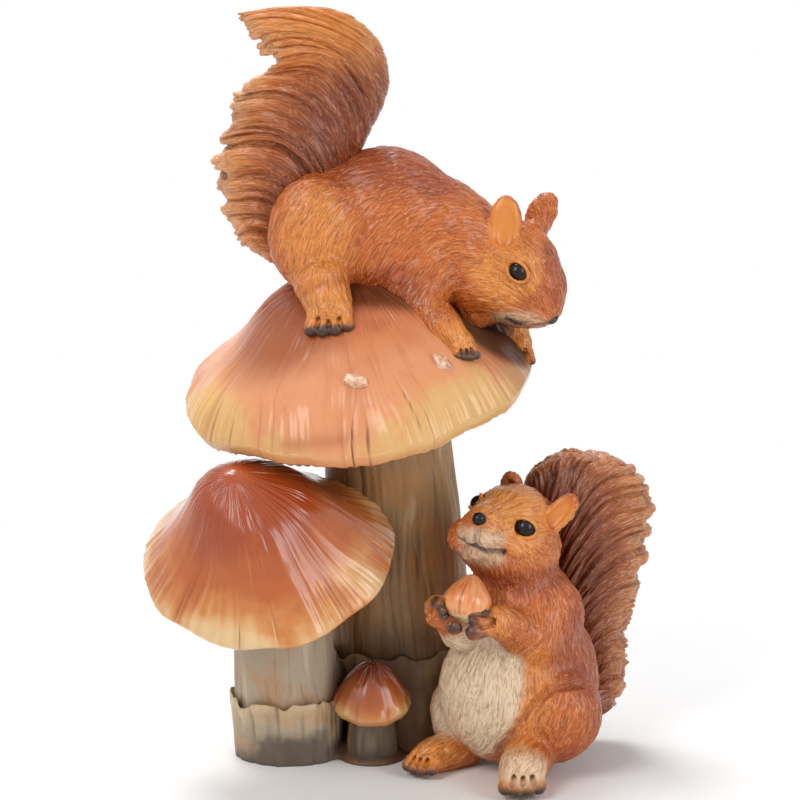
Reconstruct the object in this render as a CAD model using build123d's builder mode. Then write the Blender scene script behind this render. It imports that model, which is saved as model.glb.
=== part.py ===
from build123d import *

import os
from math import ceil, cos, hypot, pi, radians, sin

# Squirrel figurine: two squirrels on a group of three mushrooms.
# Each mushroom stem, cap, squirrel and tail is a resin casting of its own. The castings are
# pinned to each other and seat face to face. Millimetres, +Z up, the front faces -Y, and the
# origin is on the table, among the feet of the three stems.

# Large mushroom
big_stem_height = 130.0
big_stem_radius = 23.0
big_stem_foot = (3.0, 14.0)
big_stem_lean = (-9.0, -3.0)
big_sheath_height = 34.0
big_sheath_radius = 27.5
big_sheath_flare_share = 1.1
big_cap_radius = 57.0
big_cap_height = 47.0
big_cap_centre_height = 115.8
big_cap_pitch = 11.5
big_cap_roll = 5.3
big_cap_offset = (-7.3, -6.0)
big_cap_lip = 4.5
big_gill_rise = 5.0
big_cap_pinch_share = 0.0

# Left mushroom
left_stem_height = 78.0
left_stem_radius = 17.0
left_stem_foot = (-37.0, -10.5)
left_stem_lean = (-3.0, -8.0)
left_sheath_height = 23.0
left_sheath_radius = 18.6
left_sheath_flare_share = 0.86
left_cap_radius = 40.5
left_cap_height = 33.0
left_cap_centre_height = 70.6
left_cap_pitch = 30.0
left_cap_roll = 5.5
left_cap_offset = (-3.0, -5.5)
left_cap_lip = 4.0
left_gill_rise = 4.0
left_cap_pinch_share = 0.09

# Small mushroom
small_stem_height = 27.0
small_stem_radius = 7.6
small_stem_foot = (-9.2, -17.5)
small_stem_lean = (0.0, -4.0)
small_cap_radius = 13.2
small_cap_height = 14.0
small_cap_centre_height = 21.1
small_cap_pitch = 14.0
small_cap_roll = 0.0
small_cap_offset = (0.0, -0.5)
small_cap_lip = 2.5
small_gill_rise = 1.5
small_cap_pinch_share = 0.0

# What the caps and stems share
cap_waves = 9
cap_slow_waves = 4
stem_sides = 24
sheath_wall = 2.4
sheath_tooth = 3.2
web_height = 5.0
wart_radius = 4.0
big_cap_sides = 40
left_cap_sides = 32
small_cap_sides = 16

# Upper squirrel, nose to tail root, seated at the top of the big cap
upper_length = 100.0
upper_tail_height = 80.0

# Lower squirrel, ground to ear tips
lower_height = 97.0
lower_place = (38.0, -26.0)
lower_tail_height = 80.0

# Beads, nut and pins
upper_eye_diameter = 6.4
lower_eye_diameter = 6.8
nose_diameter = 4.4
nut_radius = 8.0
nut_tip_radius = 2.6
nut_length = 7.4
dowel_diameter = 6.0
dowel_length = 30.0
small_dowel_diameter = 3.0
small_dowel_length = 12.0
tail_pin_diameter = 3.0
tail_pin_length = 16.0
seat_pin_diameter = 4.0
seat_pin_length = 24.0
pin_clearance = 0.15

# Shapes of the stems: height and radius as shares of the stem's own
BIG_STEM_SHARES = ((0.0, 1.12), (0.1, 1.1), (0.3, 1.04), (0.6, 0.98), (0.85, 0.89), (1.0, 0.86))
LEFT_STEM_SHARES = ((0.0, 0.9), (0.08, 1.0), (0.3, 1.0), (0.6, 0.96), (1.0, 0.92))
SMALL_STEM_SHARES = ((0.0, 1.12), (0.25, 1.1), (0.5, 1.0), (1.0, 0.95))
# A torn collar: how high each point of its edge stands, as shares of the tooth
TOOTH_SHARES = (0.9, -0.3, 0.2, -0.9, 0.4, 1.0, 0.1, -0.6, -0.2, 0.6, -1.0, 0.3)
tooth_dip_share = -0.4
stem_flute_share = 0.05
web_top_share = 0.8
# A cap's top, as shares of its radius, from the apex out to the rim
CAP_RADIUS_SHARES = (0.16, 0.36, 0.56, 0.74, 0.88, 0.97, 1.0)
cap_wave_share = 0.014
cap_slow_wave_share = 0.6
cap_groove_share = 0.03
cap_rim_power = 1.75
cap_crown_power = 0.85
# Curled warts on the big cap: polar place as a turn and a share of the radius
WART_SHARES = ((0.756, 0.735), (0.869, 0.78))
wart_squash_share = 0.6

# Masses of the upper squirrel, as shares of its length from the top of the big cap.
# An egg is centre, radii and tilt in degrees; a limb is start, end and the radius at each.
UPPER_EGG_SHARES = {
    "pelvis": ((-0.09, 0.07, 0.13), (0.165, 0.185, 0.2), 0),
    "belly": ((0.12, 0.08, 0.12), (0.255, 0.21, 0.275), 12),
    "chest": ((0.3, 0.08, 0.07), (0.2, 0.18, 0.205), 35),
    "cranium": ((0.555, 0.045, 0.03), (0.13, 0.125, 0.125), 20),
    "near_thigh": ((-0.11, -0.075, 0.13), (0.14, 0.08, 0.19), 0),
    "far_thigh": ((-0.105, 0.235, 0.08), (0.14, 0.08, 0.19), 0),
    "near_ear": ((0.513, -0.025, 0.17), (0.052, 0.03, 0.086), 4),
    "far_ear": ((0.64, 0.135, 0.165), (0.05, 0.03, 0.076), 28),
    "far_ear_root": ((0.615, 0.11, 0.115), (0.05, 0.035, 0.045), 28),
    "nose": ((0.668, -0.03, -0.155), (0.026, 0.022, 0.022), 40),
    "near_brow": ((0.54, -0.065, 0.045), (0.055, 0.03, 0.025), 30),
}
UPPER_LIMB_SHARES = {
    "neck": ((0.31, 0.085, 0.11), (0.5, 0.055, 0.02), 0.16, 0.12),
    "face": ((0.59, 0.03, -0.01), (0.615, 0.015, -0.06), 0.11, 0.105),
    "muzzle": ((0.62, 0.01, -0.06), (0.65, -0.015, -0.115), 0.09, 0.056),
    "cheek": ((0.445, 0.045, -0.05), (0.555, 0.02, -0.115), 0.12, 0.076),
    "near_hind_foot": ((-0.075, -0.135, -0.035), (-0.045, -0.18, -0.1), 0.08, 0.062),
    "far_hind_foot": ((-0.07, 0.305, -0.12), (-0.005, 0.355, -0.17), 0.075, 0.055),
    "near_foreleg": ((0.215, -0.045, -0.065), (0.305, -0.135, -0.155), 0.095, 0.065),
    "near_forepaw": ((0.305, -0.135, -0.155), (0.372, -0.185, -0.21), 0.065, 0.044),
    "far_foreleg": ((0.31, 0.205, -0.085), (0.47, 0.205, -0.185), 0.085, 0.06),
    "far_forepaw": ((0.47, 0.205, -0.185), (0.54, 0.11, -0.27), 0.06, 0.046),
}
# Toes fan out from a foot: where they start, the tip of the middle, how far they spread, and
# the radius of one
UPPER_TOE_SHARES = (
    ((-0.05, -0.19, -0.11), (-0.052, -0.228, -0.158), (0.066, 0.0, 0.008), 0.026),
    ((0.0, 0.36, -0.18), (0.03, 0.4, -0.22), (0.05, -0.03, 0.0), 0.024),
    ((0.38, -0.195, -0.215), (0.388, -0.23, -0.243), (0.042, 0.0, 0.0), 0.018),
    ((0.545, 0.1, -0.28), (0.552, 0.056, -0.325), (0.034, 0.0, 0.0), 0.017),
)
# Hollow of each ear: centre and radii
UPPER_EAR_SHARES = (
    ((0.515, -0.055, 0.168), (0.03, 0.018, 0.056)),
    ((0.645, 0.165, 0.16), (0.03, 0.018, 0.05)),
)
UPPER_EYE_SHARES = ((0.558, -0.08, 0.01), (0.637, 0.134, 0.007))

# Masses of the lower squirrel, as shares of its height from its place on the table
LOWER_EGG_SHARES = {
    "belly": ((-0.027, 0.0, 0.27), (0.232, 0.227, 0.253), 0),
    "back": ((0.1, 0.06, 0.31), (0.18, 0.196, 0.258), -8),
    "chest": ((0.006, 0.01, 0.5), (0.196, 0.186, 0.196), 0),
    "cranium": ((0.015, 0.02, 0.83), (0.16, 0.16, 0.15), 25),
    "near_thigh": ((0.133, -0.082, 0.213), (0.144, 0.124, 0.16), 20),
    "far_thigh": ((-0.154, 0.062, 0.17), (0.134, 0.113, 0.155), 0),
    "far_ear": ((-0.014, 0.1, 0.95), (0.037, 0.026, 0.052), -10),
    "near_ear": ((0.142, -0.02, 0.88), (0.036, 0.032, 0.078), 50),
    "chin": ((-0.12, -0.1, 0.775), (0.06, 0.06, 0.035), -15),
}
LOWER_LIMB_SHARES = {
    "neck": ((0.012, 0.02, 0.575), (0.004, 0.01, 0.715), 0.16, 0.144),
    "near_cheek": ((0.06, -0.03, 0.78), (-0.02, -0.06, 0.765), 0.113, 0.112),
    "muzzle": ((-0.06, -0.06, 0.84), (-0.115, -0.145, 0.867), 0.129, 0.077),
    "far_cheek": ((-0.11, -0.04, 0.782), (-0.172, -0.072, 0.818), 0.093, 0.062),
    "near_foot": ((0.043, -0.165, 0.1), (0.008, -0.29, 0.068), 0.082, 0.07),
    "far_foot": ((-0.18, 0.02, 0.064), (-0.29, -0.08, 0.056), 0.077, 0.06),
    "near_upper_arm": ((0.118, -0.04, 0.558), (0.046, -0.165, 0.46), 0.103, 0.072),
    "near_forearm": ((0.046, -0.165, 0.46), (-0.07, -0.24, 0.57), 0.072, 0.055),
    "far_upper_arm": ((-0.14, -0.02, 0.535), (-0.208, -0.103, 0.47), 0.088, 0.062),
    "far_forearm": ((-0.208, -0.103, 0.47), (-0.262, -0.18, 0.6), 0.062, 0.05),
}
LOWER_TOE_SHARES = (
    ((0.008, -0.3, 0.065), (0.002, -0.365, 0.03), (0.064, 0.01, 0.0), 0.03),
    ((-0.29, -0.09, 0.055), (-0.325, -0.14, 0.03), (-0.05, 0.03, 0.0), 0.028),
    ((-0.08, -0.262, 0.58), (-0.142, -0.292, 0.6), (-0.005, 0.005, 0.042), 0.021),
    ((-0.262, -0.2, 0.605), (-0.243, -0.248, 0.622), (0.0, 0.0, 0.04), 0.02),
)
LOWER_EAR_SHARES = (
    ((-0.03, 0.075, 0.952), (0.022, 0.016, 0.032)),
    ((0.132, -0.045, 0.882), (0.022, 0.02, 0.045)),
)
LOWER_EYE_SHARES = ((0.023, -0.134, 0.865), (-0.128, -0.02, 0.918))
LOWER_NOSE_SHARES = (-0.132, -0.201, 0.912)
NUT_SHARES = (-0.18, -0.237, 0.62)
NUT_LEAN_SHARES = (0.2, 0.3, 0.93)

# Tails, as shares of the tail's height from its root: the masses of the root, each a place and a
# radius, then a fan of locks. A lock is a flat rib with its end at the body's side, its end at the
# outer edge (both as X and Z) and half its thickness.
UPPER_TAIL_ROOT_SHARES = (-0.278, 0.124, 0.06)
UPPER_ROOT_SHARES = (
    ((0.06, -0.02, 0.02), 0.05), ((-0.048, -0.013, 0.131), 0.11), ((-0.014, -0.025, 0.278), 0.14),
)
UPPER_LOCK_SHARES = (
    ((0.156, -0.047), (0.017, -0.055), 0.05), ((0.231, 0.049), (-0.098, 0.016), 0.1),
    ((0.297, 0.161), (-0.154, 0.132), 0.13), ((0.355, 0.277), (-0.185, 0.252), 0.16),
    ((0.404, 0.388), (-0.196, 0.359), 0.18), ((0.453, 0.49), (-0.183, 0.458), 0.185),
    ((0.502, 0.589), (-0.125, 0.572), 0.18), ((0.523, 0.686), (-0.071, 0.666), 0.165),
    ((0.507, 0.784), (0.027, 0.735), 0.14), ((0.466, 0.865), (-0.013, 0.808), 0.115),
    ((0.397, 0.926), (-0.053, 0.873), 0.085), ((0.304, 0.962), (-0.085, 0.93), 0.045),
)
UPPER_ENDS_SHARES = ((0.08, -0.08), (-0.092, 0.958))
upper_tail_depth_share = -0.025
LOWER_TAIL_ROOT_SHARES = (0.308, 0.206, 0.148)
LOWER_ROOT_SHARES = (
    ((-0.15, -0.1, 0.1), 0.08), ((0.0, 0.0, 0.02), 0.06), ((0.013, 0.025, 0.166), 0.085),
)
LOWER_LOCK_SHARES = (
    ((-0.15, -0.15), (-0.058, -0.125), 0.05), ((-0.159, -0.063), (0.042, -0.028), 0.09),
    ((-0.165, 0.033), (0.099, 0.06), 0.11), ((-0.17, 0.138), (0.106, 0.199), 0.12),
    ((-0.179, 0.234), (0.1, 0.295), 0.13), ((-0.188, 0.329), (0.12, 0.399), 0.14),
    ((-0.206, 0.429), (0.16, 0.502), 0.15), ((-0.224, 0.528), (0.183, 0.614), 0.155),
    ((-0.245, 0.631), (0.19, 0.726), 0.16), ((-0.267, 0.726), (0.2, 0.845), 0.155),
    ((-0.289, 0.807), (0.153, 0.973), 0.14), ((-0.31, 0.867), (0.027, 1.067), 0.11),
    ((-0.327, 0.905), (-0.13, 1.084), 0.08), ((-0.335, 0.935), (-0.249, 1.033), 0.045),
)
LOWER_ENDS_SHARES = ((-0.1, -0.168), (-0.315, 0.982))
lower_tail_depth_share = 0.07
lock_sides = 12
lock_arch_share = 0.07
lock_notch_share = 0.07
lock_groove_share = 0.14
lock_taper_share = 0.3

# Where the pins go, as shares of what they hold
UPPER_TAIL_JOINT_SHARES = (0.056, -0.013, 0.131)
LOWER_TAIL_JOINT_SHARES = (-0.075, -0.05, 0.06)
UPPER_PIN_SHARES = ((-0.04, 0.0, 0.0), (0.14, 0.0, 0.0))
LOWER_PIN_SHARES = (-0.2, 0.2, 0.2)

# Facets: the least on a mass, and how many more a larger one has
EGG_SIDES = 4
LIMB_SIDES = 3
SIDES_PER_SHARE = 9
TOE_COUNT = 4


class RingSkin(BasePartObject):
    """A closed solid skinned in flat triangles over rings of points; a ring of one point is a pole."""

    def __init__(self, rings, mode=Mode.ADD):
        faces = []
        for lower, upper in zip(rings, rings[1:]):
            count = max(len(lower), len(upper))
            for i in range(count):
                j = (i + 1) % count
                if len(lower) > 1:
                    top = upper[j % len(upper)]
                    faces.append(Face(Wire.make_polygon([lower[i], lower[j], top])))
                if len(upper) > 1:
                    base = lower[i % len(lower)]
                    faces.append(Face(Wire.make_polygon([base, upper[j], upper[i]])))
        super().__init__(part=Solid(Shell(faces)), mode=mode)


def cap_axis(pitch, roll):
    """The unit vector up through a cap that is pitched to the front and rolled to the left."""
    up = Vector(0, 0, 1).rotate(Axis.X, pitch)
    return up.rotate(Axis.Y, -roll)


def cap_plane(top, offset, height, pitch, roll):
    """The plane of a cap's rim, beside the top of its stem."""
    centre = Vector(top.origin.X + offset[0], top.origin.Y + offset[1], height)
    return Plane(origin=centre, x_dir=(1, 0, 0), z_dir=cap_axis(pitch, roll))


def stem_top(foot, lean, height):
    """The plane of a stem's flat top."""
    return Plane(origin=(foot[0] + lean[0], foot[1] + lean[1], height))


def ring(plane, radius, height, sides, wave=0.0, groove=0.0):
    """Points about a plane's axis, wavy in radius and height, with every other one in a groove."""
    points = []
    for i in range(sides):
        turn = 2 * pi * i / sides
        swell = wave * (sin(cap_waves * turn) + cap_slow_wave_share * sin(cap_slow_waves * turn))
        r = radius * (1 + swell)
        z = height - radius * (swell + groove * (i % 2))
        points.append(plane.from_local_coords(Vector(r * cos(turn), r * sin(turn), z)))
    return points


def cap_height(height, share):
    """How high a cap's top stands over its rim, at a share of its radius."""
    return height * (1 - share**cap_rim_power) ** cap_crown_power


def cap_rings(plane, radius, height, pinch, lip, rise, sides):
    """A cap from its apex over the rim's lip to the underside, which rises to the stem."""
    wave = cap_wave_share
    rings = [[plane.from_local_coords(Vector(0, 0, height))]]
    for share in CAP_RADIUS_SHARES:
        r = radius * share * (1 - pinch * sin(pi * share**2))
        z = cap_height(height, share)
        rings.append(ring(plane, r, z, sides, wave * share**3, cap_groove_share * share**2))
    rings.append(ring(plane, radius, -lip / 2, sides, wave))
    rings.append(ring(plane, radius - lip / 2, -lip, sides, wave))
    rings.append(ring(plane, radius * 3 / 4, rise / 3 - lip, sides))
    rings.append(ring(plane, radius / 2, rise - lip, sides))
    rings.append([plane.from_local_coords(Vector(0, 0, rise - lip))])
    return rings


def stem_rings(foot, lean, height, radius, shares):
    """A leaning stem as fluted rings, from its foot to its top."""
    rings = []
    for z_share, r_share in shares:
        plane = Plane(origin=(foot[0] + lean[0] * z_share, foot[1] + lean[1] * z_share, height * z_share))
        points = []
        for i in range(stem_sides):
            turn = 2 * pi * i / stem_sides
            r = radius * r_share * (1 + (i % 2 - 1 / 2) * stem_flute_share)
            points.append(plane.from_local_coords(Vector(r * cos(turn), r * sin(turn), 0)))
        rings.append(points)
    foot_pole = [Vector(foot[0], foot[1], 0)]
    top_pole = [Vector(foot[0] + lean[0], foot[1] + lean[1], height)]
    return [foot_pole] + rings + [top_pole]


def sheath_rings(foot, height, radius, flare):
    """The torn sheath round a stem's foot, with a ragged upper edge."""
    teeth = len(TOOTH_SHARES)
    centre = Vector(foot[0], foot[1], 0)
    edge = []
    inner = []
    base = []
    waist = []
    for i in range(2 * teeth):
        turn = pi * i / teeth
        lift = sheath_tooth * (TOOTH_SHARES[i // 2] if i % 2 == 0 else tooth_dip_share)
        along = Vector(cos(turn), sin(turn), 0)
        base.append(centre + along * radius * flare)
        waist.append(centre + along * radius + Vector(0, 0, height / 2))
        edge.append(centre + along * (radius + sheath_wall / 4) + Vector(0, 0, height + lift))
        inner.append(centre + along * (radius - sheath_wall) + Vector(0, 0, height - sheath_tooth))
    return [[centre], base, waist, edge, inner, [centre + Vector(0, 0, height - sheath_tooth)]]


def web_points(stems):
    """Points of the web at the foot of the mushrooms, round the foot of each stem."""
    points = []
    for foot, radius in stems:
        for share, height in ((1, 0), (web_top_share, web_height)):
            for i in range(stem_sides):
                turn = 2 * pi * i / stem_sides
                r = radius * share
                points.append(Vector(foot[0] + r * cos(turn), foot[1] + r * sin(turn), height))
    return points


def egg_points(centre, radii, tilt, sides):
    """Points on an ellipsoid that is tilted nose down about the Y axis, with half as many rings as sides."""
    along = Vector(cos(radians(tilt)), 0, -sin(radians(tilt)))
    up = Vector(sin(radians(tilt)), 0, cos(radians(tilt)))
    length, width, height = radii
    points = [centre + up * height, centre - up * height]
    rings = sides // 2
    for k in range(1, rings):
        dip = pi * k / rings
        for i in range(sides):
            turn = 2 * pi * (i + (k % 2) / 2) / sides
            across = Vector(0, width * sin(turn) * sin(dip), 0)
            level = along * (length * cos(turn) * sin(dip)) + across
            points.append(centre + level + up * (height * cos(dip)))
    return points


def limb_points(start, end, start_radius, end_radius, sides, rows=2):
    """Points on a tapered limb with rounded ends, in so many rows of points to an end."""
    axis = (end - start).normalized()
    side = axis.cross(Vector(0, 1, 0)).normalized()
    out = axis.cross(side)
    points = []
    for centre, radius, way in ((start, start_radius, -1), (end, end_radius, 1)):
        for k in range(rows):
            height = (k + 1 / 4) * pi / 4
            for i in range(sides):
                turn = 2 * pi * (i + (k % 2) / 2) / sides
                lift = axis * (way * radius * sin(height))
                points.append(centre + (side * cos(turn) + out * sin(turn)) * (radius * cos(height)) + lift)
        points.append(centre + axis * (way * radius))
    return points


def bead_points(centre, diameter):
    """Points on a small round bead."""
    radius = diameter / 2
    return egg_points(centre, Vector(radius, radius, radius), 0, 2 * EGG_SIDES)


def sides_for(least, radius_share):
    """An even number of sides that grows with a mass's share of its animal."""
    return 2 * (least + ceil(radius_share * SIDES_PER_SHARE))


def mass(points):
    """A convex mass for a later fuse."""
    return ConvexPolyhedron(points, mode=Mode.PRIVATE)


def egg_masses(origin, size, eggs):
    """An animal's eggs; centre and radii are shares of its size."""
    masses = []
    for centre, radii, tilt in eggs:
        sides = sides_for(EGG_SIDES, max(radii))
        masses.append(mass(egg_points(origin + Vector(centre) * size, Vector(radii) * size, tilt, sides)))
    return masses


def limb_masses(origin, size, limbs):
    """An animal's limbs; ends and radii are shares of its size."""
    masses = []
    for start, end, start_radius, end_radius in limbs:
        ends = (origin + Vector(start) * size, origin + Vector(end) * size)
        sides = sides_for(LIMB_SIDES, start_radius)
        masses.append(mass(limb_points(*ends, start_radius * size, end_radius * size, sides)))
    return masses


def toe_masses(origin, size, feet):
    """The toes of each foot, fanned from its front to a rounded row of tips."""
    masses = []
    for start, tip, spread, radius in feet:
        for i in range(TOE_COUNT):
            side = (2 * i + 1) / TOE_COUNT - 1
            root = Vector(start) + Vector(spread) * (side / 2)
            end = Vector(tip) + Vector(spread) * side - (Vector(tip) - Vector(start)) * (side**2 / 4)
            ends = (origin + root * size, origin + end * size)
            masses.append(mass(limb_points(*ends, radius * size, radius * size, 2 * LIMB_SIDES, 1)))
    return masses


def root_masses(root, size, nodes):
    """The masses of a tail's root, which meets the rump."""
    masses = []
    for (start, start_radius), (end, end_radius) in zip(nodes, nodes[1:]):
        ends = (root + Vector(start) * size, root + Vector(end) * size)
        sides = sides_for(LIMB_SIDES, start_radius)
        masses.append(mass(limb_points(*ends, start_radius * size, end_radius * size, sides)))
    return masses


def lock_ring(root, size, inner, outer, thick, depth, dent):
    """Points round one lock, arched from its inner to its outer end; dent pulls in a groove."""
    length = hypot(outer[0] - inner[0], outer[1] - inner[1])
    points = []
    for i in range(lock_sides):
        turn = 2 * pi * i / lock_sides
        along = (1 - cos(turn)) / 2
        reach = along * (1 - dent * lock_notch_share)
        x = inner[0] + (outer[0] - inner[0]) * reach
        z = inner[1] + (outer[1] - inner[1]) * reach + lock_arch_share * length * sin(pi * along)
        y = thick * sin(turn) * (1 - lock_taper_share * along) * (1 - dent * lock_groove_share * along)
        points.append(root + Vector(x, depth + y, z) * size)
    return points


def tail_rings(root, size, locks, ends, depth):
    """A tail's plume: a fan of locks with a groove between every two, closed by a point at each end."""
    first, last = [[root + Vector(x, depth, z) * size] for x, z in ends]
    rings = [first, lock_ring(root, size, *locks[0], depth, 0)]
    for lower, upper in zip(locks, locks[1:]):
        inner, outer = [((a[0] + b[0]) / 2, (a[1] + b[1]) / 2) for a, b in zip(lower[:2], upper[:2])]
        rings.append(lock_ring(root, size, inner, outer, (lower[2] + upper[2]) / 2, depth, 1))
        rings.append(lock_ring(root, size, *upper, depth, 0))
    return rings + [last]


def ear_hollows(origin, size, ears):
    """What is scooped out of each ear."""
    return egg_masses(origin, size, [(centre, radii, 0) for centre, radii in ears])


def bore(plane, diameter, length):
    """A blind hole for a pin that is centred on the plane, with its clearance all round."""
    with Locations(plane):
        Cylinder(diameter / 2 + pin_clearance, length + 2 * pin_clearance, mode=Mode.SUBTRACT)


big_top = stem_top(big_stem_foot, big_stem_lean, big_stem_height)
left_top = stem_top(left_stem_foot, left_stem_lean, left_stem_height)
small_top = stem_top(small_stem_foot, small_stem_lean, small_stem_height)
big_rim = cap_plane(big_top, big_cap_offset, big_cap_centre_height, big_cap_pitch, big_cap_roll)
left_rim = cap_plane(left_top, left_cap_offset, left_cap_centre_height, left_cap_pitch, left_cap_roll)
small_rim = cap_plane(small_top, small_cap_offset, small_cap_centre_height, small_cap_pitch, small_cap_roll)
upper_seat = big_rim.origin + big_rim.z_dir * big_cap_height
lower_seat = Vector(lower_place[0], lower_place[1], 0)
upper_tail_root = upper_seat + Vector(UPPER_TAIL_ROOT_SHARES) * upper_length
lower_tail_root = lower_seat + Vector(LOWER_TAIL_ROOT_SHARES) * lower_height
upper_tail_joint = Plane(
    origin=upper_tail_root + Vector(UPPER_TAIL_JOINT_SHARES) * upper_tail_height,
    z_dir=(1, 0, 0),
)
lower_tail_joint = Plane(
    origin=lower_tail_root + Vector(LOWER_TAIL_JOINT_SHARES) * lower_tail_height,
    z_dir=Vector(LOWER_ROOT_SHARES[1][0]) - Vector(LOWER_ROOT_SHARES[0][0]),
)
upper_pins = [Plane(origin=upper_seat + Vector(place) * upper_length) for place in UPPER_PIN_SHARES]
lower_pin = Plane(origin=lower_seat + Vector(LOWER_PIN_SHARES) * lower_height, z_dir=(-1, 1, 0))

# Stems
with BuildPart() as left_stem:
    RingSkin(stem_rings(left_stem_foot, left_stem_lean, left_stem_height, left_stem_radius, LEFT_STEM_SHARES))
    RingSkin(sheath_rings(left_stem_foot, left_sheath_height, left_sheath_radius, left_sheath_flare_share))
    bore(left_top, dowel_diameter, dowel_length)
left_stem.part.label = "left_stem"

with BuildPart() as small_stem:
    RingSkin(
        stem_rings(small_stem_foot, small_stem_lean, small_stem_height, small_stem_radius, SMALL_STEM_SHARES)
    )
    bore(small_top, small_dowel_diameter, small_dowel_length)
small_stem.part.label = "small_stem"

with BuildPart() as big_stem:
    RingSkin(stem_rings(big_stem_foot, big_stem_lean, big_stem_height, big_stem_radius, BIG_STEM_SHARES))
    RingSkin(sheath_rings(big_stem_foot, big_sheath_height, big_sheath_radius, big_sheath_flare_share))
    feet = (
        (left_stem_foot, left_stem_radius),
        (small_stem_foot, small_stem_radius),
        (big_stem_foot, big_stem_radius),
    )
    ConvexPolyhedron(web_points(feet))
    add([left_stem.part, small_stem.part], mode=Mode.SUBTRACT)
    bore(big_top, dowel_diameter, dowel_length)
    bore(lower_pin, seat_pin_diameter, seat_pin_length)
big_stem.part.label = "big_stem"

# Caps, each seated on its stem and clear of its neighbours
with BuildPart() as big_cap:
    edge = (big_cap_pinch_share, big_cap_lip, big_gill_rise, big_cap_sides)
    RingSkin(cap_rings(big_rim, big_cap_radius, big_cap_height, *edge))
    for turn_share, radius_share in WART_SHARES:
        turn = 2 * pi * turn_share
        r = big_cap_radius * radius_share
        place = Vector(r * cos(turn), r * sin(turn), cap_height(big_cap_height, radius_share))
        wart = big_rim.from_local_coords(place)
        radii = Vector(1, 1, wart_squash_share) * wart_radius
        ConvexPolyhedron(egg_points(wart, radii, 0, 2 * EGG_SIDES))
    add(big_stem.part, mode=Mode.SUBTRACT)
    bore(big_top, dowel_diameter, dowel_length)
    for pin in upper_pins:
        bore(pin, seat_pin_diameter, seat_pin_length)
big_cap.part.label = "big_cap"

with BuildPart() as left_cap:
    edge = (left_cap_pinch_share, left_cap_lip, left_gill_rise, left_cap_sides)
    RingSkin(cap_rings(left_rim, left_cap_radius, left_cap_height, *edge))
    add([left_stem.part, big_stem.part, big_cap.part], mode=Mode.SUBTRACT)
    bore(left_top, dowel_diameter, dowel_length)
left_cap.part.label = "left_cap"

with BuildPart() as small_cap:
    edge = (small_cap_pinch_share, small_cap_lip, small_gill_rise, small_cap_sides)
    RingSkin(cap_rings(small_rim, small_cap_radius, small_cap_height, *edge))
    add([small_stem.part, big_stem.part, left_stem.part], mode=Mode.SUBTRACT)
    bore(small_top, small_dowel_diameter, small_dowel_length)
small_cap.part.label = "small_cap"

# Beads and the nut, which the squirrels are cut to
with BuildPart() as upper_eyes:
    for place in UPPER_EYE_SHARES:
        ConvexPolyhedron(bead_points(upper_seat + Vector(place) * upper_length, upper_eye_diameter))
upper_eyes.part.label = "upper_eyes"

with BuildPart() as lower_eyes:
    for place in LOWER_EYE_SHARES:
        ConvexPolyhedron(bead_points(lower_seat + Vector(place) * lower_height, lower_eye_diameter))
lower_eyes.part.label = "lower_eyes"

with BuildPart() as lower_nose:
    ConvexPolyhedron(bead_points(lower_seat + Vector(LOWER_NOSE_SHARES) * lower_height, nose_diameter))
lower_nose.part.label = "lower_nose"

with BuildPart() as hazelnut:
    nut_base = lower_seat + Vector(NUT_SHARES) * lower_height
    nut_tip = nut_base + Vector(NUT_LEAN_SHARES) * nut_length
    ConvexPolyhedron(limb_points(nut_base, nut_tip, nut_radius, nut_tip_radius, 3 * LIMB_SIDES))
hazelnut.part.label = "hazelnut"

# Squirrels
with BuildPart() as upper_squirrel:
    add(
        egg_masses(upper_seat, upper_length, UPPER_EGG_SHARES.values())
        + limb_masses(upper_seat, upper_length, UPPER_LIMB_SHARES.values())
        + toe_masses(upper_seat, upper_length, UPPER_TOE_SHARES)
    )
    add(ear_hollows(upper_seat, upper_length, UPPER_EAR_SHARES), mode=Mode.SUBTRACT)
    add([big_cap.part, upper_eyes.part], mode=Mode.SUBTRACT)
    for pin in upper_pins:
        bore(pin, seat_pin_diameter, seat_pin_length)
    bore(upper_tail_joint, tail_pin_diameter, tail_pin_length)
upper_squirrel.part.label = "upper_squirrel"

with BuildPart() as lower_squirrel:
    add(
        egg_masses(lower_seat, lower_height, LOWER_EGG_SHARES.values())
        + limb_masses(lower_seat, lower_height, LOWER_LIMB_SHARES.values())
        + toe_masses(lower_seat, lower_height, LOWER_TOE_SHARES)
    )
    split(bisect_by=Plane.XY, keep=Keep.TOP)
    add(ear_hollows(lower_seat, lower_height, LOWER_EAR_SHARES), mode=Mode.SUBTRACT)
    add([big_stem.part, lower_eyes.part, lower_nose.part, hazelnut.part], mode=Mode.SUBTRACT)
    bore(lower_pin, seat_pin_diameter, seat_pin_length)
    bore(lower_tail_joint, tail_pin_diameter, tail_pin_length)
lower_squirrel.part.label = "lower_squirrel"

# Tails
with BuildPart() as upper_tail:
    shares = (UPPER_LOCK_SHARES, UPPER_ENDS_SHARES, upper_tail_depth_share)
    RingSkin(tail_rings(upper_tail_root, upper_tail_height, *shares))
    add(root_masses(upper_tail_root, upper_tail_height, UPPER_ROOT_SHARES))
    add([upper_squirrel.part, big_cap.part], mode=Mode.SUBTRACT)
    bore(upper_tail_joint, tail_pin_diameter, tail_pin_length)
upper_tail.part.label = "upper_tail"

with BuildPart() as lower_tail:
    shares = (LOWER_LOCK_SHARES, LOWER_ENDS_SHARES, lower_tail_depth_share)
    RingSkin(tail_rings(lower_tail_root, lower_tail_height, *shares))
    add(root_masses(lower_tail_root, lower_tail_height, LOWER_ROOT_SHARES))
    add(lower_squirrel.part, mode=Mode.SUBTRACT)
    bore(lower_tail_joint, tail_pin_diameter, tail_pin_length)
lower_tail.part.label = "lower_tail"

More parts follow.
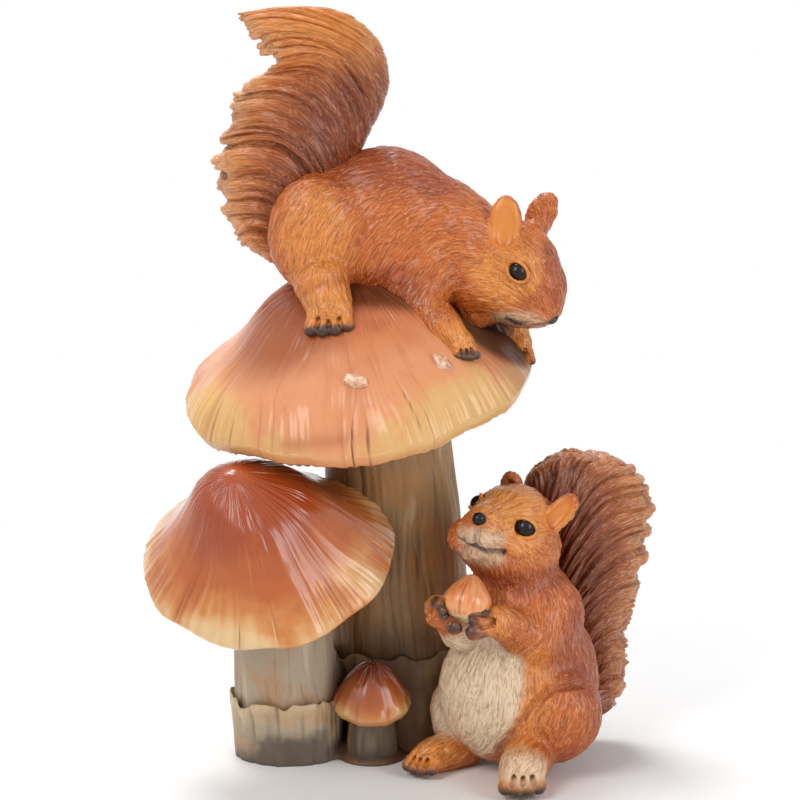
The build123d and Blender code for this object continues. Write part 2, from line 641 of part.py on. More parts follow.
# Pins
with BuildPart() as cap_dowels:
    with Locations(big_top, left_top):
        Cylinder(dowel_diameter / 2, dowel_length)
    with Locations(small_top):
        Cylinder(small_dowel_diameter / 2, small_dowel_length)
cap_dowels.part.label = "cap_dowels"

with BuildPart() as tail_pins:
    with Locations(upper_tail_joint, lower_tail_joint):
        Cylinder(tail_pin_diameter / 2, tail_pin_length)
tail_pins.part.label = "tail_pins"

with BuildPart() as seat_pins:
    with Locations(*upper_pins, lower_pin):
        Cylinder(seat_pin_diameter / 2, seat_pin_length)
seat_pins.part.label = "seat_pins"

pieces = [
    big_stem, left_stem, small_stem, big_cap, left_cap, small_cap,
    upper_squirrel, upper_tail, upper_eyes, lower_squirrel, lower_tail, lower_eyes,
    lower_nose, hazelnut, cap_dowels, tail_pins, seat_pins,
]
os.makedirs("parts", exist_ok=True)
for piece in pieces:
    export_step(piece.part, f"parts/{piece.part.label}.step")
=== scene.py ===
"""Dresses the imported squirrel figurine: two combed squirrels, their tails and three glazed mushrooms."""

import math

import bpy
import numpy as np
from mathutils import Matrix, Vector


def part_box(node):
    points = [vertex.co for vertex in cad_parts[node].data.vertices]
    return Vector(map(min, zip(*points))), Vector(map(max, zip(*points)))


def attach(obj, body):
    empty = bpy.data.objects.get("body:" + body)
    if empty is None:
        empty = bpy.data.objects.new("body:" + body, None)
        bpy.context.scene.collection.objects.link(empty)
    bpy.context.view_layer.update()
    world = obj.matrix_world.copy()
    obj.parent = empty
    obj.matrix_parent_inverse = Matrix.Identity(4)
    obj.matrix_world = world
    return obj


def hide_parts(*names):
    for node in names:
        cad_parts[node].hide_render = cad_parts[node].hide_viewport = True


bl_info = {
    "name": "Squirrel figurine",
    "version": (1, 0, 0),
    "blender": (4, 5, 0),
    "location": "3D View > Sidebar > Figurine",
    "description": "Models and paints a cast figurine of two squirrels on mushrooms",
    "category": "Object",
}

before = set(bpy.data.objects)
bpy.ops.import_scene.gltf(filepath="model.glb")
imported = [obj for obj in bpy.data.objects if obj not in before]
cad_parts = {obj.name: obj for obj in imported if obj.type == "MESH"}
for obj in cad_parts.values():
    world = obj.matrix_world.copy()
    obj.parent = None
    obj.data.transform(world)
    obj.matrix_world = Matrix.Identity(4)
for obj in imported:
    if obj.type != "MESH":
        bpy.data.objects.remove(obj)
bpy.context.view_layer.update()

# One millimetre in metres: shapes are worked out in millimetres and meshes are in metres
MM = 0.001

# Driving sizes in millimetres, as on the solids. Where the animals sit is found from their eyes' solids; a
# place on an animal is given in shares of its size from there.
UPPER_LENGTH = 100.0
LOWER_HEIGHT = 97.0
TAIL_HEIGHT = 80.0
UPPER_EYES = np.array(((0.558, -0.08, 0.01), (0.637, 0.134, 0.007)))
LOWER_EYES = np.array(((0.023, -0.134, 0.865), (-0.128, -0.02, 0.918)))
LOWER_NOSE = (-0.132, -0.201, 0.912)
LOWER_NUT = (-0.17, -0.232, 0.635)
# Radii of the beads and the nut, and half the nut's height, in millimetres
UPPER_EYE_RADII = (3.2, 3.2)
LOWER_EYE_RADII = (3.4, 2.9)
NOSE_RADIUS = 2.2
NUT_RADIUS = 7.9
NUT_HEIGHT = 7.6


def middle_of(node):
    """The middle of a solid's box, in millimetres."""
    low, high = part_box(node)
    return (np.array(low) + np.array(high)) / 2 / MM


UPPER_SEAT = middle_of("upper_eyes") - UPPER_EYES.mean(0) * UPPER_LENGTH
LOWER_PLACE = middle_of("lower_eyes") - LOWER_EYES.mean(0) * LOWER_HEIGHT
UPPER_TAIL_ROOT = UPPER_SEAT + np.array((-0.278, 0.124, 0.06)) * UPPER_LENGTH
LOWER_TAIL_ROOT = LOWER_PLACE + np.array((0.308, 0.206, 0.148)) * LOWER_HEIGHT


# Settings that a user would change


def setting(name, default, description, **more):
    """A number as a property."""
    return bpy.props.FloatProperty(name=name, description=description, default=default, **more)


def colour_setting(name, default, description):
    """A linear colour as a property."""
    return bpy.props.FloatVectorProperty(
        name=name, description=description, default=default, subtype="COLOR", size=3, min=0.0, max=1.0
    )


class FigurineSizes(bpy.types.PropertyGroup):
    """Sizes of the sculpted detail and of the camera."""

    grain: setting("Clay grain", 0.53, "Edge of one cell of the sculpting grid, in millimetres")
    rough_grain: setting("Rough grain", 0.8, "The same while trying things, in millimetres")
    fur_depth: setting("Fur depth", 0.3, "Depth of the combed strokes, in millimetres")
    fur_pitch: setting("Fur pitch", 0.9, "Width of one combed stroke, in millimetres")
    camera_distance: setting("Camera distance", 1.1, "From the aim to the lens, in metres", unit="LENGTH")
    camera_tilt: setting("Camera tilt", math.radians(12), "How far the camera looks down", subtype="ANGLE")
    picture_height: setting("Picture height", 0.264, "What the picture spans at the aim point, in metres")
    aim_height: setting("Aim height", 0.1175, "Height of the aim point, in metres", unit="LENGTH")


class FigurineColours(bpy.types.PropertyGroup):
    """Paints and glazes, as linear colours."""

    fur: colour_setting("Fur", (0.52, 0.125, 0.016), "Orange brown of the bodies")
    fur_red: colour_setting("Red fur", (0.34, 0.06, 0.01), "Red brown of the backs")
    fur_gold: colour_setting("Gold fur", (0.7, 0.25, 0.045), "Ochre of thighs and paws")
    fur_pale: colour_setting("Pale fur", (0.74, 0.57, 0.39), "Cream of bellies and cheeks")
    charcoal: colour_setting("Charcoal", (0.03, 0.022, 0.018), "Claws and mouths")
    bark: colour_setting("Bark", (0.42, 0.34, 0.24), "Grey beige of the stems")
    bark_warm: colour_setting("Warm bark", (0.5, 0.2, 0.05), "Orange wash on the stems")
    # The colour the left and small stems darken to towards their feet
    bark_dark: colour_setting("Dark bark", (0.06, 0.04, 0.028), "Dark wash in the stems' folds")


def sizes():
    return bpy.context.scene.figurine_sizes


def colours():
    return bpy.context.scene.figurine_colours


# Shapes whose distance is worked out at whole arrays of points


def unit(vector):
    """A vector, or an array of them, at length one."""
    v = np.asarray(vector, float)
    return v / np.maximum(np.linalg.norm(v, axis=-1, keepdims=True), 1e-9)


class Egg:
    """An ellipsoid, tilted nose down about Y and then turned about Z.

    Distance: near (near - 1) / slope, the lengths of the point over the radii and over their squares.
    """

    def __init__(self, centre, radii, tilt=0.0, turn=0.0):
        a = math.radians(tilt)
        b = math.radians(turn)
        about_y = np.array(((math.cos(a), 0, -math.sin(a)), (0, 1, 0), (math.sin(a), 0, math.cos(a))))
        about_z = np.array(((math.cos(b), math.sin(b), 0), (-math.sin(b), math.cos(b), 0), (0, 0, 1)))
        self.centre = np.array(centre, float)
        self.radii = np.array(radii, float)
        self.axes = about_y @ about_z
        reach = np.sqrt(((self.axes * self.radii[:, None]) ** 2).sum(0))
        self.low = self.centre - reach
        self.high = self.centre + reach

    def distance(self, points):
        local = (points - self.centre) @ self.axes.T
        near = np.sqrt(((local / self.radii) ** 2).sum(-1))
        slope = np.sqrt(((local / self.radii**2) ** 2).sum(-1)) + 1e-9
        return near * (near - 1) / slope


class Limb:
    """A tapered limb with round ends.

    Distance: to the nearest point of the axis, less the radius there, which runs evenly from end to end.
    """

    def __init__(self, start, end, start_radius, end_radius):
        self.start = np.array(start, float)
        self.axis = np.array(end, float) - self.start
        self.radii = (start_radius, end_radius)
        self.low = np.minimum(self.start, self.start + self.axis) - max(self.radii)
        self.high = np.maximum(self.start, self.start + self.axis) + max(self.radii)

    def distance(self, points):
        local = points - self.start
        share = np.clip(local @ self.axis / max(self.axis @ self.axis, 1e-9), 0, 1)
        away = local - share[..., None] * self.axis
        radius = self.radii[0] + (self.radii[1] - self.radii[0]) * share
        return np.sqrt((away**2).sum(-1)) - radius


def smooth_least(a, b, blend):
    """The lesser of two distances, rounded where they are within blend of each other."""
    share = np.clip(0.5 + 0.5 * (b - a) / blend, 0, 1)
    return b + (a - b) * share - blend * share * (1 - share)


# The distance where no mass is near, and how far past its box and blend a mass is worked out, in millimetres
FAR = 12.0
MARGIN = 3.0


class Clay:
    """Masses that are blended and cut in order, then skinned."""

    def __init__(self):
        self.strokes = []

    def add(self, shape, blend=2.0):
        self.strokes.append((shape, blend, 1))

    def cut(self, shape, blend=0.8):
        self.strokes.append((shape, blend, -1))

    def apply(self, distance, shape, points, blend, way):
        if way > 0:
            return smooth_least(distance, shape.distance(points), blend)
        return -smooth_least(-distance, shape.distance(points), blend)

    def distance(self, points):
        """The blended distance at scattered points; each mass is only worked out near its own box."""
        result = np.full(len(points), FAR)
        for shape, blend, way in self.strokes:
            margin = blend + MARGIN
            near = np.all((points > shape.low - margin) & (points < shape.high + margin), axis=1)
            result[near] = self.apply(result[near], shape, points[near], blend, way)
        return result

    def slope(self, points, step=0.08):
        """The outward normal: central differences of the distance, at length one."""
        parts = [
            self.distance(points + offset) - self.distance(points - offset)
            for offset in np.eye(3) * step
        ]
        return unit(np.stack(parts, -1))

    def grid(self, cell):
        """The blended distance on a lattice, with its corner."""
        solid = [shape for shape, blend, way in self.strokes if way > 0]
        low = np.min([s.low for s in solid], axis=0) - 3 * cell
        high = np.max([s.high for s in solid], axis=0) + 3 * cell
        count = np.ceil((high - low) / cell).astype(int) + 1
        field = np.full(count, FAR, np.float32)
        for shape, blend, way in self.strokes:
            margin = blend + 2 * cell
            first = np.clip(((shape.low - margin - low) / cell).astype(int), 0, count - 1)
            last = np.clip(((shape.high + margin - low) / cell).astype(int) + 2, 1, count)
            if np.any(last <= first):
                continue
            axes = [low[i] + cell * np.arange(first[i], last[i]) for i in range(3)]
            block = tuple(slice(first[i], last[i]) for i in range(3))
            points = np.stack(np.meshgrid(*axes, indexing="ij"), -1)
            field[block] = self.apply(field[block], shape, points, blend, way)
        return field, low

    def skin(self, cell):
        """Vertices and quads of the surface, pulled onto the blended distance by Newton steps."""
        field, low = self.grid(cell)
        points, quads = surface_net(field, low, cell)
        for _ in range(2):
            normal = self.slope(points)
            points = points - normal * np.clip(self.distance(points), -cell, cell)[:, None]
        return points, quads


def surface_net(field, low, cell):
    """Skins the zero of a lattice: one vertex in each cell that it crosses, at the mean of the crossings of
    its edges, and one quad for each lattice edge that it crosses."""
    inside = field < 0
    shape = np.array(field.shape) - 1
    corners = [(i, j, k) for i in (0, 1) for j in (0, 1) for k in (0, 1)]
    count = np.zeros(shape, np.int8)
    for i, j, k in corners:
        count += inside[i : i + shape[0], j : j + shape[1], k : k + shape[2]]
    crossed_cells = (count > 0) & (count < 8)
    index = np.full(shape, -1, np.int64)
    index[crossed_cells] = np.arange(crossed_cells.sum())
    cells = np.argwhere(crossed_cells)
    total = np.zeros((len(cells), 3))
    crossings = np.zeros(len(cells))
    for start in corners:
        for axis in range(3):
            if start[axis]:
                continue
            end = list(start)
            end[axis] = 1
            near = field[tuple((cells + start).T)]
            far = field[tuple((cells + end).T)]
            crossed = (near < 0) != (far < 0)
            share = np.where(crossed, near / np.where(crossed, near - far, 1), 0)
            place = np.array(start) + share[:, None] * (np.array(end) - np.array(start))
            total += place * crossed[:, None]
            crossings += crossed
    points = low + cell * (cells + total / crossings[:, None])
    quads = []
    for axis in range(3):
        one = (axis + 1) % 3
        two = (axis + 2) % 3
        first = np.argwhere(np.diff(inside.astype(np.int8), axis=axis) != 0)
        keep = np.all((first[:, (one, two)] > 0) & (first[:, (one, two)] < shape[[one, two]]), axis=1)
        first = first[keep]
        outward = inside[tuple(first.T)]
        ring = []
        for back_one, back_two in ((1, 1), (0, 1), (0, 0), (1, 0)):
            place = first.copy()
            place[:, one] -= back_one
            place[:, two] -= back_two
            ring.append(index[tuple(place.T)])
        loop = np.stack(ring, 1)
        loop[~outward] = loop[~outward][:, ::-1]
        quads.append(loop)
    return points, np.concatenate(quads)


# Grain and combing, as whole arrays

# Factors that scatter the three counts of a lattice cell and the seed, and the bits that are kept
SCATTER = (73856093, 19349663, 83492791, 2654435761, 1274126177)
BITS = 0xFFFFFF
# A combed stroke is followed both ways in this many steps, over a reach in millimetres for the fine strokes
# and for the locks; the locks are as many times wider as LOCK_WIDTH says
COMB_STEPS = 6
FINE_REACH = 3.4
LOCK_REACH = 7.0
LOCK_WIDTH = 2.6


def stacked(*parts):
    """The parts of places, spread to one shape."""
    return np.stack(np.broadcast_arrays(*parts), -1)


def full_turn(columns):
    """The angles round a ring, as one row."""
    return np.linspace(0, 2 * math.pi, columns, endpoint=False)[None, :]


def lattice_value(cells, seed):
    """A repeatable value from 0 to 1 for each lattice cell, by mixing its three counts."""
    x, y, z = (cells[..., i].astype(np.int64) * SCATTER[i] for i in range(3))
    bits = x ^ y ^ z ^ (seed * SCATTER[3])
    bits = (bits ^ (bits >> 13)) * SCATTER[4]
    return ((bits ^ (bits >> 16)) & BITS) / float(BITS)


def grain(points, cell, seed):
    """Smooth noise from -1 to 1: lattice values at that cell size, eased between the eight corners."""
    place = points / cell
    base = np.floor(place)
    share = place - base
    share = share * share * (3 - 2 * share)
    total = np.zeros(points.shape[:-1])
    for i in (0, 1):
        for j in (0, 1):
            for k in (0, 1):
                weight = (
                    (share[..., 0] if i else 1 - share[..., 0])
                    * (share[..., 1] if j else 1 - share[..., 1])
                    * (share[..., 2] if k else 1 - share[..., 2])
                )
                total += weight * lattice_value(base + (i, j, k), seed)
    return 2 * total - 1


def comb(points, along, cell, reach, seed):
    """Combed strokes: noise averaged along the lie of the hair, both ways, so that it runs in streaks. The
    function along gives the lie at any places, and the path bends with it."""
    total = grain(points, cell, seed)
    weight = 1.0
    for way in (1, -1):
        place = points.copy()
        for step in range(1, COMB_STEPS + 1):
            place = place + along(place) * way * (reach / COMB_STEPS)
            share = 0.5 + 0.5 * math.cos(math.pi * step / (COMB_STEPS + 1))
            total = total + share * grain(place, cell, seed)
            weight += share
    total = total / weight
    return total / (total.std() + 1e-9)


def streaks(strokes, wander, along, radius, seed):
    """Layers of noise round an axis, drawn out along it: a stroke is a width and a length in millimetres."""
    layers = []
    for salt, (width, length) in enumerate(strokes, 1):
        scale = radius / width
        place = stacked(np.cos(wander) * scale, np.sin(wander) * scale, along / length)
        layers.append(grain(place, 1.0, seed + salt))
    return layers


def fade(distance, soft):
    """1 well inside a shape and 0 well outside, over a band that is soft wide."""
    share = np.clip(0.5 - distance / soft, 0, 1)
    return share * share * (3 - 2 * share)


def on_surface(vectors, normals):
    """Vectors laid flat on the surface, at length one."""
    return unit(vectors - (vectors * normals).sum(-1, keepdims=True) * normals)


def ease(value, low, high):
    """0 below the low value, 1 above the high one, and smooth between."""
    share = np.clip((value - low) / (high - low), 0, 1)
    return share * share * (3 - 2 * share)


def strand(value):
    """Rounded strands with sharp grooves between them: the size of the noise, levelled off, about zero."""
    return np.minimum(np.abs(value), 1.5) ** 0.8 - 0.72


def through(rows, place):
    """Rows of a table at fractional places, along the Catmull-Rom curve through them."""
    padded = np.concatenate((rows[:1], rows, rows[-1:]))
    index = np.clip(np.floor(place).astype(int), 0, len(rows) - 2)
    t = (place - index)[..., None]
    a, b, c, d = (padded[index + k] for k in range(4))
    return b + t / 2 * (c - a + t * (2 * a - 5 * b + 4 * c - d + t * (3 * (b - c) + d - a)))


# Meshes


def make_mesh(name, points, groups, layers):
    """A smooth mesh object from whole arrays in millimetres. The groups are arrays of quads or of triangles,
    turned outwards if their volume comes out negative; layers are values or vectors on the points."""
    volume = 0.0
    for group in groups:
        for corner in range(1, group.shape[1] - 1):
            one, two, three = (points[group[:, i]] for i in (0, corner, corner + 1))
            volume += np.einsum("ij,ij->", one, np.cross(two, three))
    if volume < 0:
        groups = [group[:, ::-1] for group in groups]
    mesh = bpy.data.meshes.new(name)
    corners = np.concatenate([np.full(len(group), group.shape[1]) for group in groups])
    loops = np.concatenate([group.ravel() for group in groups])
    mesh.vertices.add(len(points))
    mesh.vertices.foreach_set("co", (points * MM).astype(np.float32).ravel())
    mesh.loops.add(len(loops))
    mesh.loops.foreach_set("vertex_index", loops.astype(np.int32))
    mesh.polygons.add(len(corners))
    mesh.polygons.foreach_set("loop_start", (np.cumsum(corners) - corners).astype(np.int32))
    mesh.polygons.foreach_set("use_smooth", np.ones(len(corners), bool))
    mesh.update(calc_edges=True)
    for layer, values in layers.items():
        kind, field = ("FLOAT", "value") if values.ndim == 1 else ("FLOAT_VECTOR", "vector")
        added = mesh.attributes.new(layer, kind, "POINT")
        added.data.foreach_set(field, values.astype(np.float32).ravel())
    piece = bpy.data.objects.new(name, mesh)
    bpy.context.scene.collection.objects.link(piece)
    return piece


def wrap_grid(points, layers=None):
    """A closed skin over a grid of rings: points, faces and layers, with a pole at either end."""
    rows, columns = points.shape[:2]
    row = np.arange(rows - 1)[:, None] * columns
    column = np.arange(columns)[None, :]
    after = (column + 1) % columns
    quads = np.stack((row + column, row + after, row + columns + after, row + columns + column), -1)
    ring = np.arange(columns)
    first = rows * columns
    last = (rows - 1) * columns
    low = np.stack((np.roll(ring, -1), ring, np.full(columns, first)), 1)
    high = np.stack((last + ring, last + np.roll(ring, -1), np.full(columns, first + 1)), 1)
    flat = np.concatenate((points.reshape(-1, 3), points[0].mean(0)[None], points[-1].mean(0)[None]))
    values = {}
    for name, layer in (layers or {}).items():
        layer = np.broadcast_to(layer, (rows, columns, *layer.shape[2:]))
        flat_layer = layer.reshape(rows * columns, *layer.shape[2:])
        values[name] = np.concatenate((flat_layer, layer[0].mean(0)[None], layer[-1].mean(0)[None]))
    return flat, [quads.reshape(-1, 4), np.concatenate((low, high))], values


def grid_normals(points):
    """The normals of a grid of rings, pointing away from each ring's middle."""
    down = np.gradient(points, axis=0)
    across = np.roll(points, -1, axis=1) - np.roll(points, 1, axis=1)
    normals = unit(np.cross(down, across))
    outward = ((points - points.mean(1, keepdims=True)) * normals).sum(-1).mean()
    return normals if outward > 0 else -normals


def ball_grid(rows, columns, pole):
    """A ball of radius 1 as a grid of rings, from the dip pole to pi - pole, and the dips."""
    dip = np.linspace(pole, math.pi - pole, rows)[:, None]
    turn = full_turn(columns)
    return stacked(np.sin(dip) * np.cos(turn), np.sin(dip) * np.sin(turn), np.cos(dip)), dip


def axes_about(up, across):
    """Three axes at right angles: the last is up, and the first is also at right angles to another vector."""
    side = unit(np.cross(up, across))
    return np.array((side, np.cross(up, side), up))


def join_skins(skins):
    """Several skins as one: points, faces and layers."""
    points = np.concatenate([skin[0] for skin in skins])
    starts = np.cumsum([0] + [len(skin[0]) for skin in skins])
    groups = []
    for kind in (0, 1):
        groups.append(np.concatenate([skin[1][kind] + start for skin, start in zip(skins, starts)]))
    layers = {name: np.concatenate([skin[2][name] for skin in skins]) for name in skins[0][2]}
    return points, groups, layers


def add_piece(name, skin, material, slot, *nodes):
    """Makes a piece of a skin and a material, lets it ride on the figurine and hides what it replaces."""
    piece = make_mesh(name, *skin)
    piece.data.materials.append(material)
    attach(piece, "root")
    if nodes:
        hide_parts(*nodes)


# Materials


class Nodes:
    """A node tree, and the kinds of node that all the looks are made of."""

    def __init__(self, tree):
        self.tree = tree
        tree.nodes.clear()

    def node(self, kind, **settings):
        made = self.tree.nodes.new("ShaderNode" + kind)
        for name, value in settings.items():
            setattr(made, name, value)
        return made

    def put(self, socket, value):
        """Links a socket to a socket, or sets its value; a colour's fourth number is 1."""
        if isinstance(value, bpy.types.NodeSocket):
            self.tree.links.new(value, socket)
        elif hasattr(value, "__len__"):
            filled = tuple(value)
            short = len(socket.default_value) == 4 and len(filled) == 3
            socket.default_value = filled + (1.0,) if short else filled
        else:
            socket.default_value = value

    def attribute(self, name, output="Fac"):
        return self.node("Attribute", attribute_name=name).outputs[output]

    def noise(self, vector, scale, detail=3.0, roughness=0.55):
        made = self.node("TexNoise")
        names = ("Vector", "Scale", "Detail", "Roughness")
        for name, value in zip(names, (vector, scale, detail, roughness)):
            self.put(made.inputs[name], value)
        return made.outputs["Fac"]

    def maths(self, operation, one, two, clamp=False):
        made = self.node("Math", operation=operation, use_clamp=clamp)
        self.put(made.inputs[0], one)
        self.put(made.inputs[1], two)
        return made.outputs[0]

    def times(self, one, two, clamp=False):
        return self.maths("MULTIPLY", one, two, clamp)

    def plus(self, one, two, clamp=False):
        return self.maths("ADD", one, two, clamp)

    def vectors(self, operation, one, two=None, output=0):
        made = self.node("VectorMath", operation=operation)
        self.put(made.inputs[0], one)
        if two is not None:
            self.put(made.inputs["Scale" if operation == "SCALE" else 1], two)
        return made.outputs[output]

    def span(self, value, low, high, to_low=0.0, to_high=1.0):
        """Maps low..high smoothly to to_low..to_high."""
        made = self.node("MapRange", interpolation_type="SMOOTHSTEP")
        names = ("Value", "From Min", "From Max", "To Min", "To Max")
        for name, number in zip(names, (value, low, high, to_low, to_high)):
            self.put(made.inputs[name], number)
        return made.outputs[0]

    def mixed(self, share, one, two, blend="MIX"):
        made = self.node("Mix", data_type="RGBA", blend_type=blend, clamp_factor=True)
        for name, value in (("Factor", share), ("A", one), ("B", two)):
            self.put(made.inputs[name], value)
        return made.outputs["Result"]

    def washed(self, share, colour, wash):
        """A colour multiplied by a wash, by a share."""
        return self.mixed(share, colour, self.mixed(1.0, colour, wash, "MULTIPLY"))

    def brushed(self, share, colour, light):
        """A colour brushed half way to a lighter one, by a share."""
        return self.mixed(share, colour, self.mixed(0.5, colour, light))

    def seen_directly(self):
        """1 for the rays of the camera, of mirrors and of clear things, 0 for those that only light."""
        path = self.node("LightPath")
        seen = self.maths("MAXIMUM", path.outputs["Is Camera Ray"], path.outputs["Is Glossy Ray"])
        return self.maths("MAXIMUM", seen, path.outputs["Is Transmission Ray"])


class Paint(Nodes):
    """A material with its shader and the place on the object, ready to be painted."""

    def __init__(self, name):
        self.material = bpy.data.materials.new(name)
        self.material.use_nodes = True
        super().__init__(self.material.node_tree)
        self.output = self.node("OutputMaterial")
        self.shader = self.node("BsdfPrincipled")
        self.put(self.output.inputs["Surface"], self.shader.outputs["BSDF"])
        self.place = self.node("TexCoord").outputs["Object"]

    def give(self, **values):
        """Links or sets inputs of the shader; an underscore stands for a space in an input's name."""
        for name, value in values.items():
            self.put(self.shader.inputs[name.replace("_", " ")], value)
        return self.material

    def bump(self, height, strength, distance):
        made = self.node("Bump")
        for name, value in (("Height", height), ("Strength", strength), ("Distance", distance)):
            self.put(made.inputs[name], value)
        self.put(self.shader.inputs["Normal"], made.outputs["Normal"])

    def combed(self, width, length, tuft):
        """Noise in strokes along the lie of the hair. Within a tuft, a place is squeezed along the lie about
        the tuft's middle before the noise reads it; width, length and tuft are in metres."""
        lie = self.vectors("NORMALIZE", self.attribute("lie", "Vector"))
        cells = self.node("TexVoronoi")
        self.put(cells.inputs["Vector"], self.place)
        self.put(cells.inputs["Scale"], 1 / tuft)
        middle = cells.outputs["Position"]
        offset = self.vectors("SUBTRACT", self.place, middle)
        along = self.vectors("DOT_PRODUCT", offset, lie, "Value")
        squeeze = self.vectors("SCALE", lie, self.times(along, width / length - 1))
        squeezed = self.vectors("ADD", offset, squeeze)
        apart = self.vectors("ADD", squeezed, self.vectors("SCALE", middle, 7.0))
        return self.noise(apart, 1 / width, 1.0, 0.4)


def paint_fur(name, base, deep):
    """Painted fur: orange to red brown in patches, gold, cream and charcoal by zone, a dark wash in the
    grooves and between the hairs, and dry brushing on the hairs, under a satin varnish."""
    c = colours()
    p = Paint(name)
    patches = p.noise(p.place, 45, 3)
    specks = p.noise(p.place, 900, 3, 0.7)
    hairs = p.combed(0.0004, 0.005, 0.007)
    haired = p.span(p.attribute("bald"), 0.0, 1.0, 1.0, 0.0)
    groove = p.attribute("groove")
    red = p.plus(p.attribute("red"), p.span(patches, 0.45, 0.7, 0.0, 0.3), True)
    colour = p.mixed(red, base, deep)
    colour = p.mixed(p.attribute("gold"), colour, c.fur_gold)
    colour = p.mixed(p.attribute("pale"), colour, c.fur_pale)
    colour = p.washed(p.times(p.span(hairs, 0.52, 0.3, 0.0, 0.6), haired), colour, (0.5, 0.33, 0.24))
    colour = p.washed(p.span(groove, 0.1, -1.5, 0.0, 0.62), colour, (0.4, 0.24, 0.17))
    colour = p.brushed(p.times(p.span(hairs, 0.52, 0.72, 0.0, 0.4), haired), colour, (1.0, 0.66, 0.36))
    dark = p.times(p.attribute("dark"), p.span(specks, 0.25, 0.5, 0.7, 1.0), True)
    colour = p.mixed(dark, colour, c.charcoal)
    p.bump(p.plus(p.times(hairs, haired), p.times(specks, 0.15)), 0.8, 0.0005)
    return p.give(
        Base_Color=colour, Roughness=p.span(specks, 0.3, 0.75, 0.3, 0.46), Specular_IOR_Level=0.28,
        Coat_Weight=0.34, Coat_Roughness=0.13,
    )


def glossy_bead(name):
    """Black glass, faintly clouded with brown."""
    p = Paint(name)
    colour = p.mixed(p.noise(p.place, 260, 2), (0.004, 0.003, 0.003), (0.014, 0.008, 0.005))
    return p.give(
        Base_Color=colour, Roughness=0.06, Specular_IOR_Level=0.22, Coat_Weight=0.12, Coat_Roughness=0.03
    )


# Animals

LAYERS = ("red", "gold", "pale", "dark", "bald")


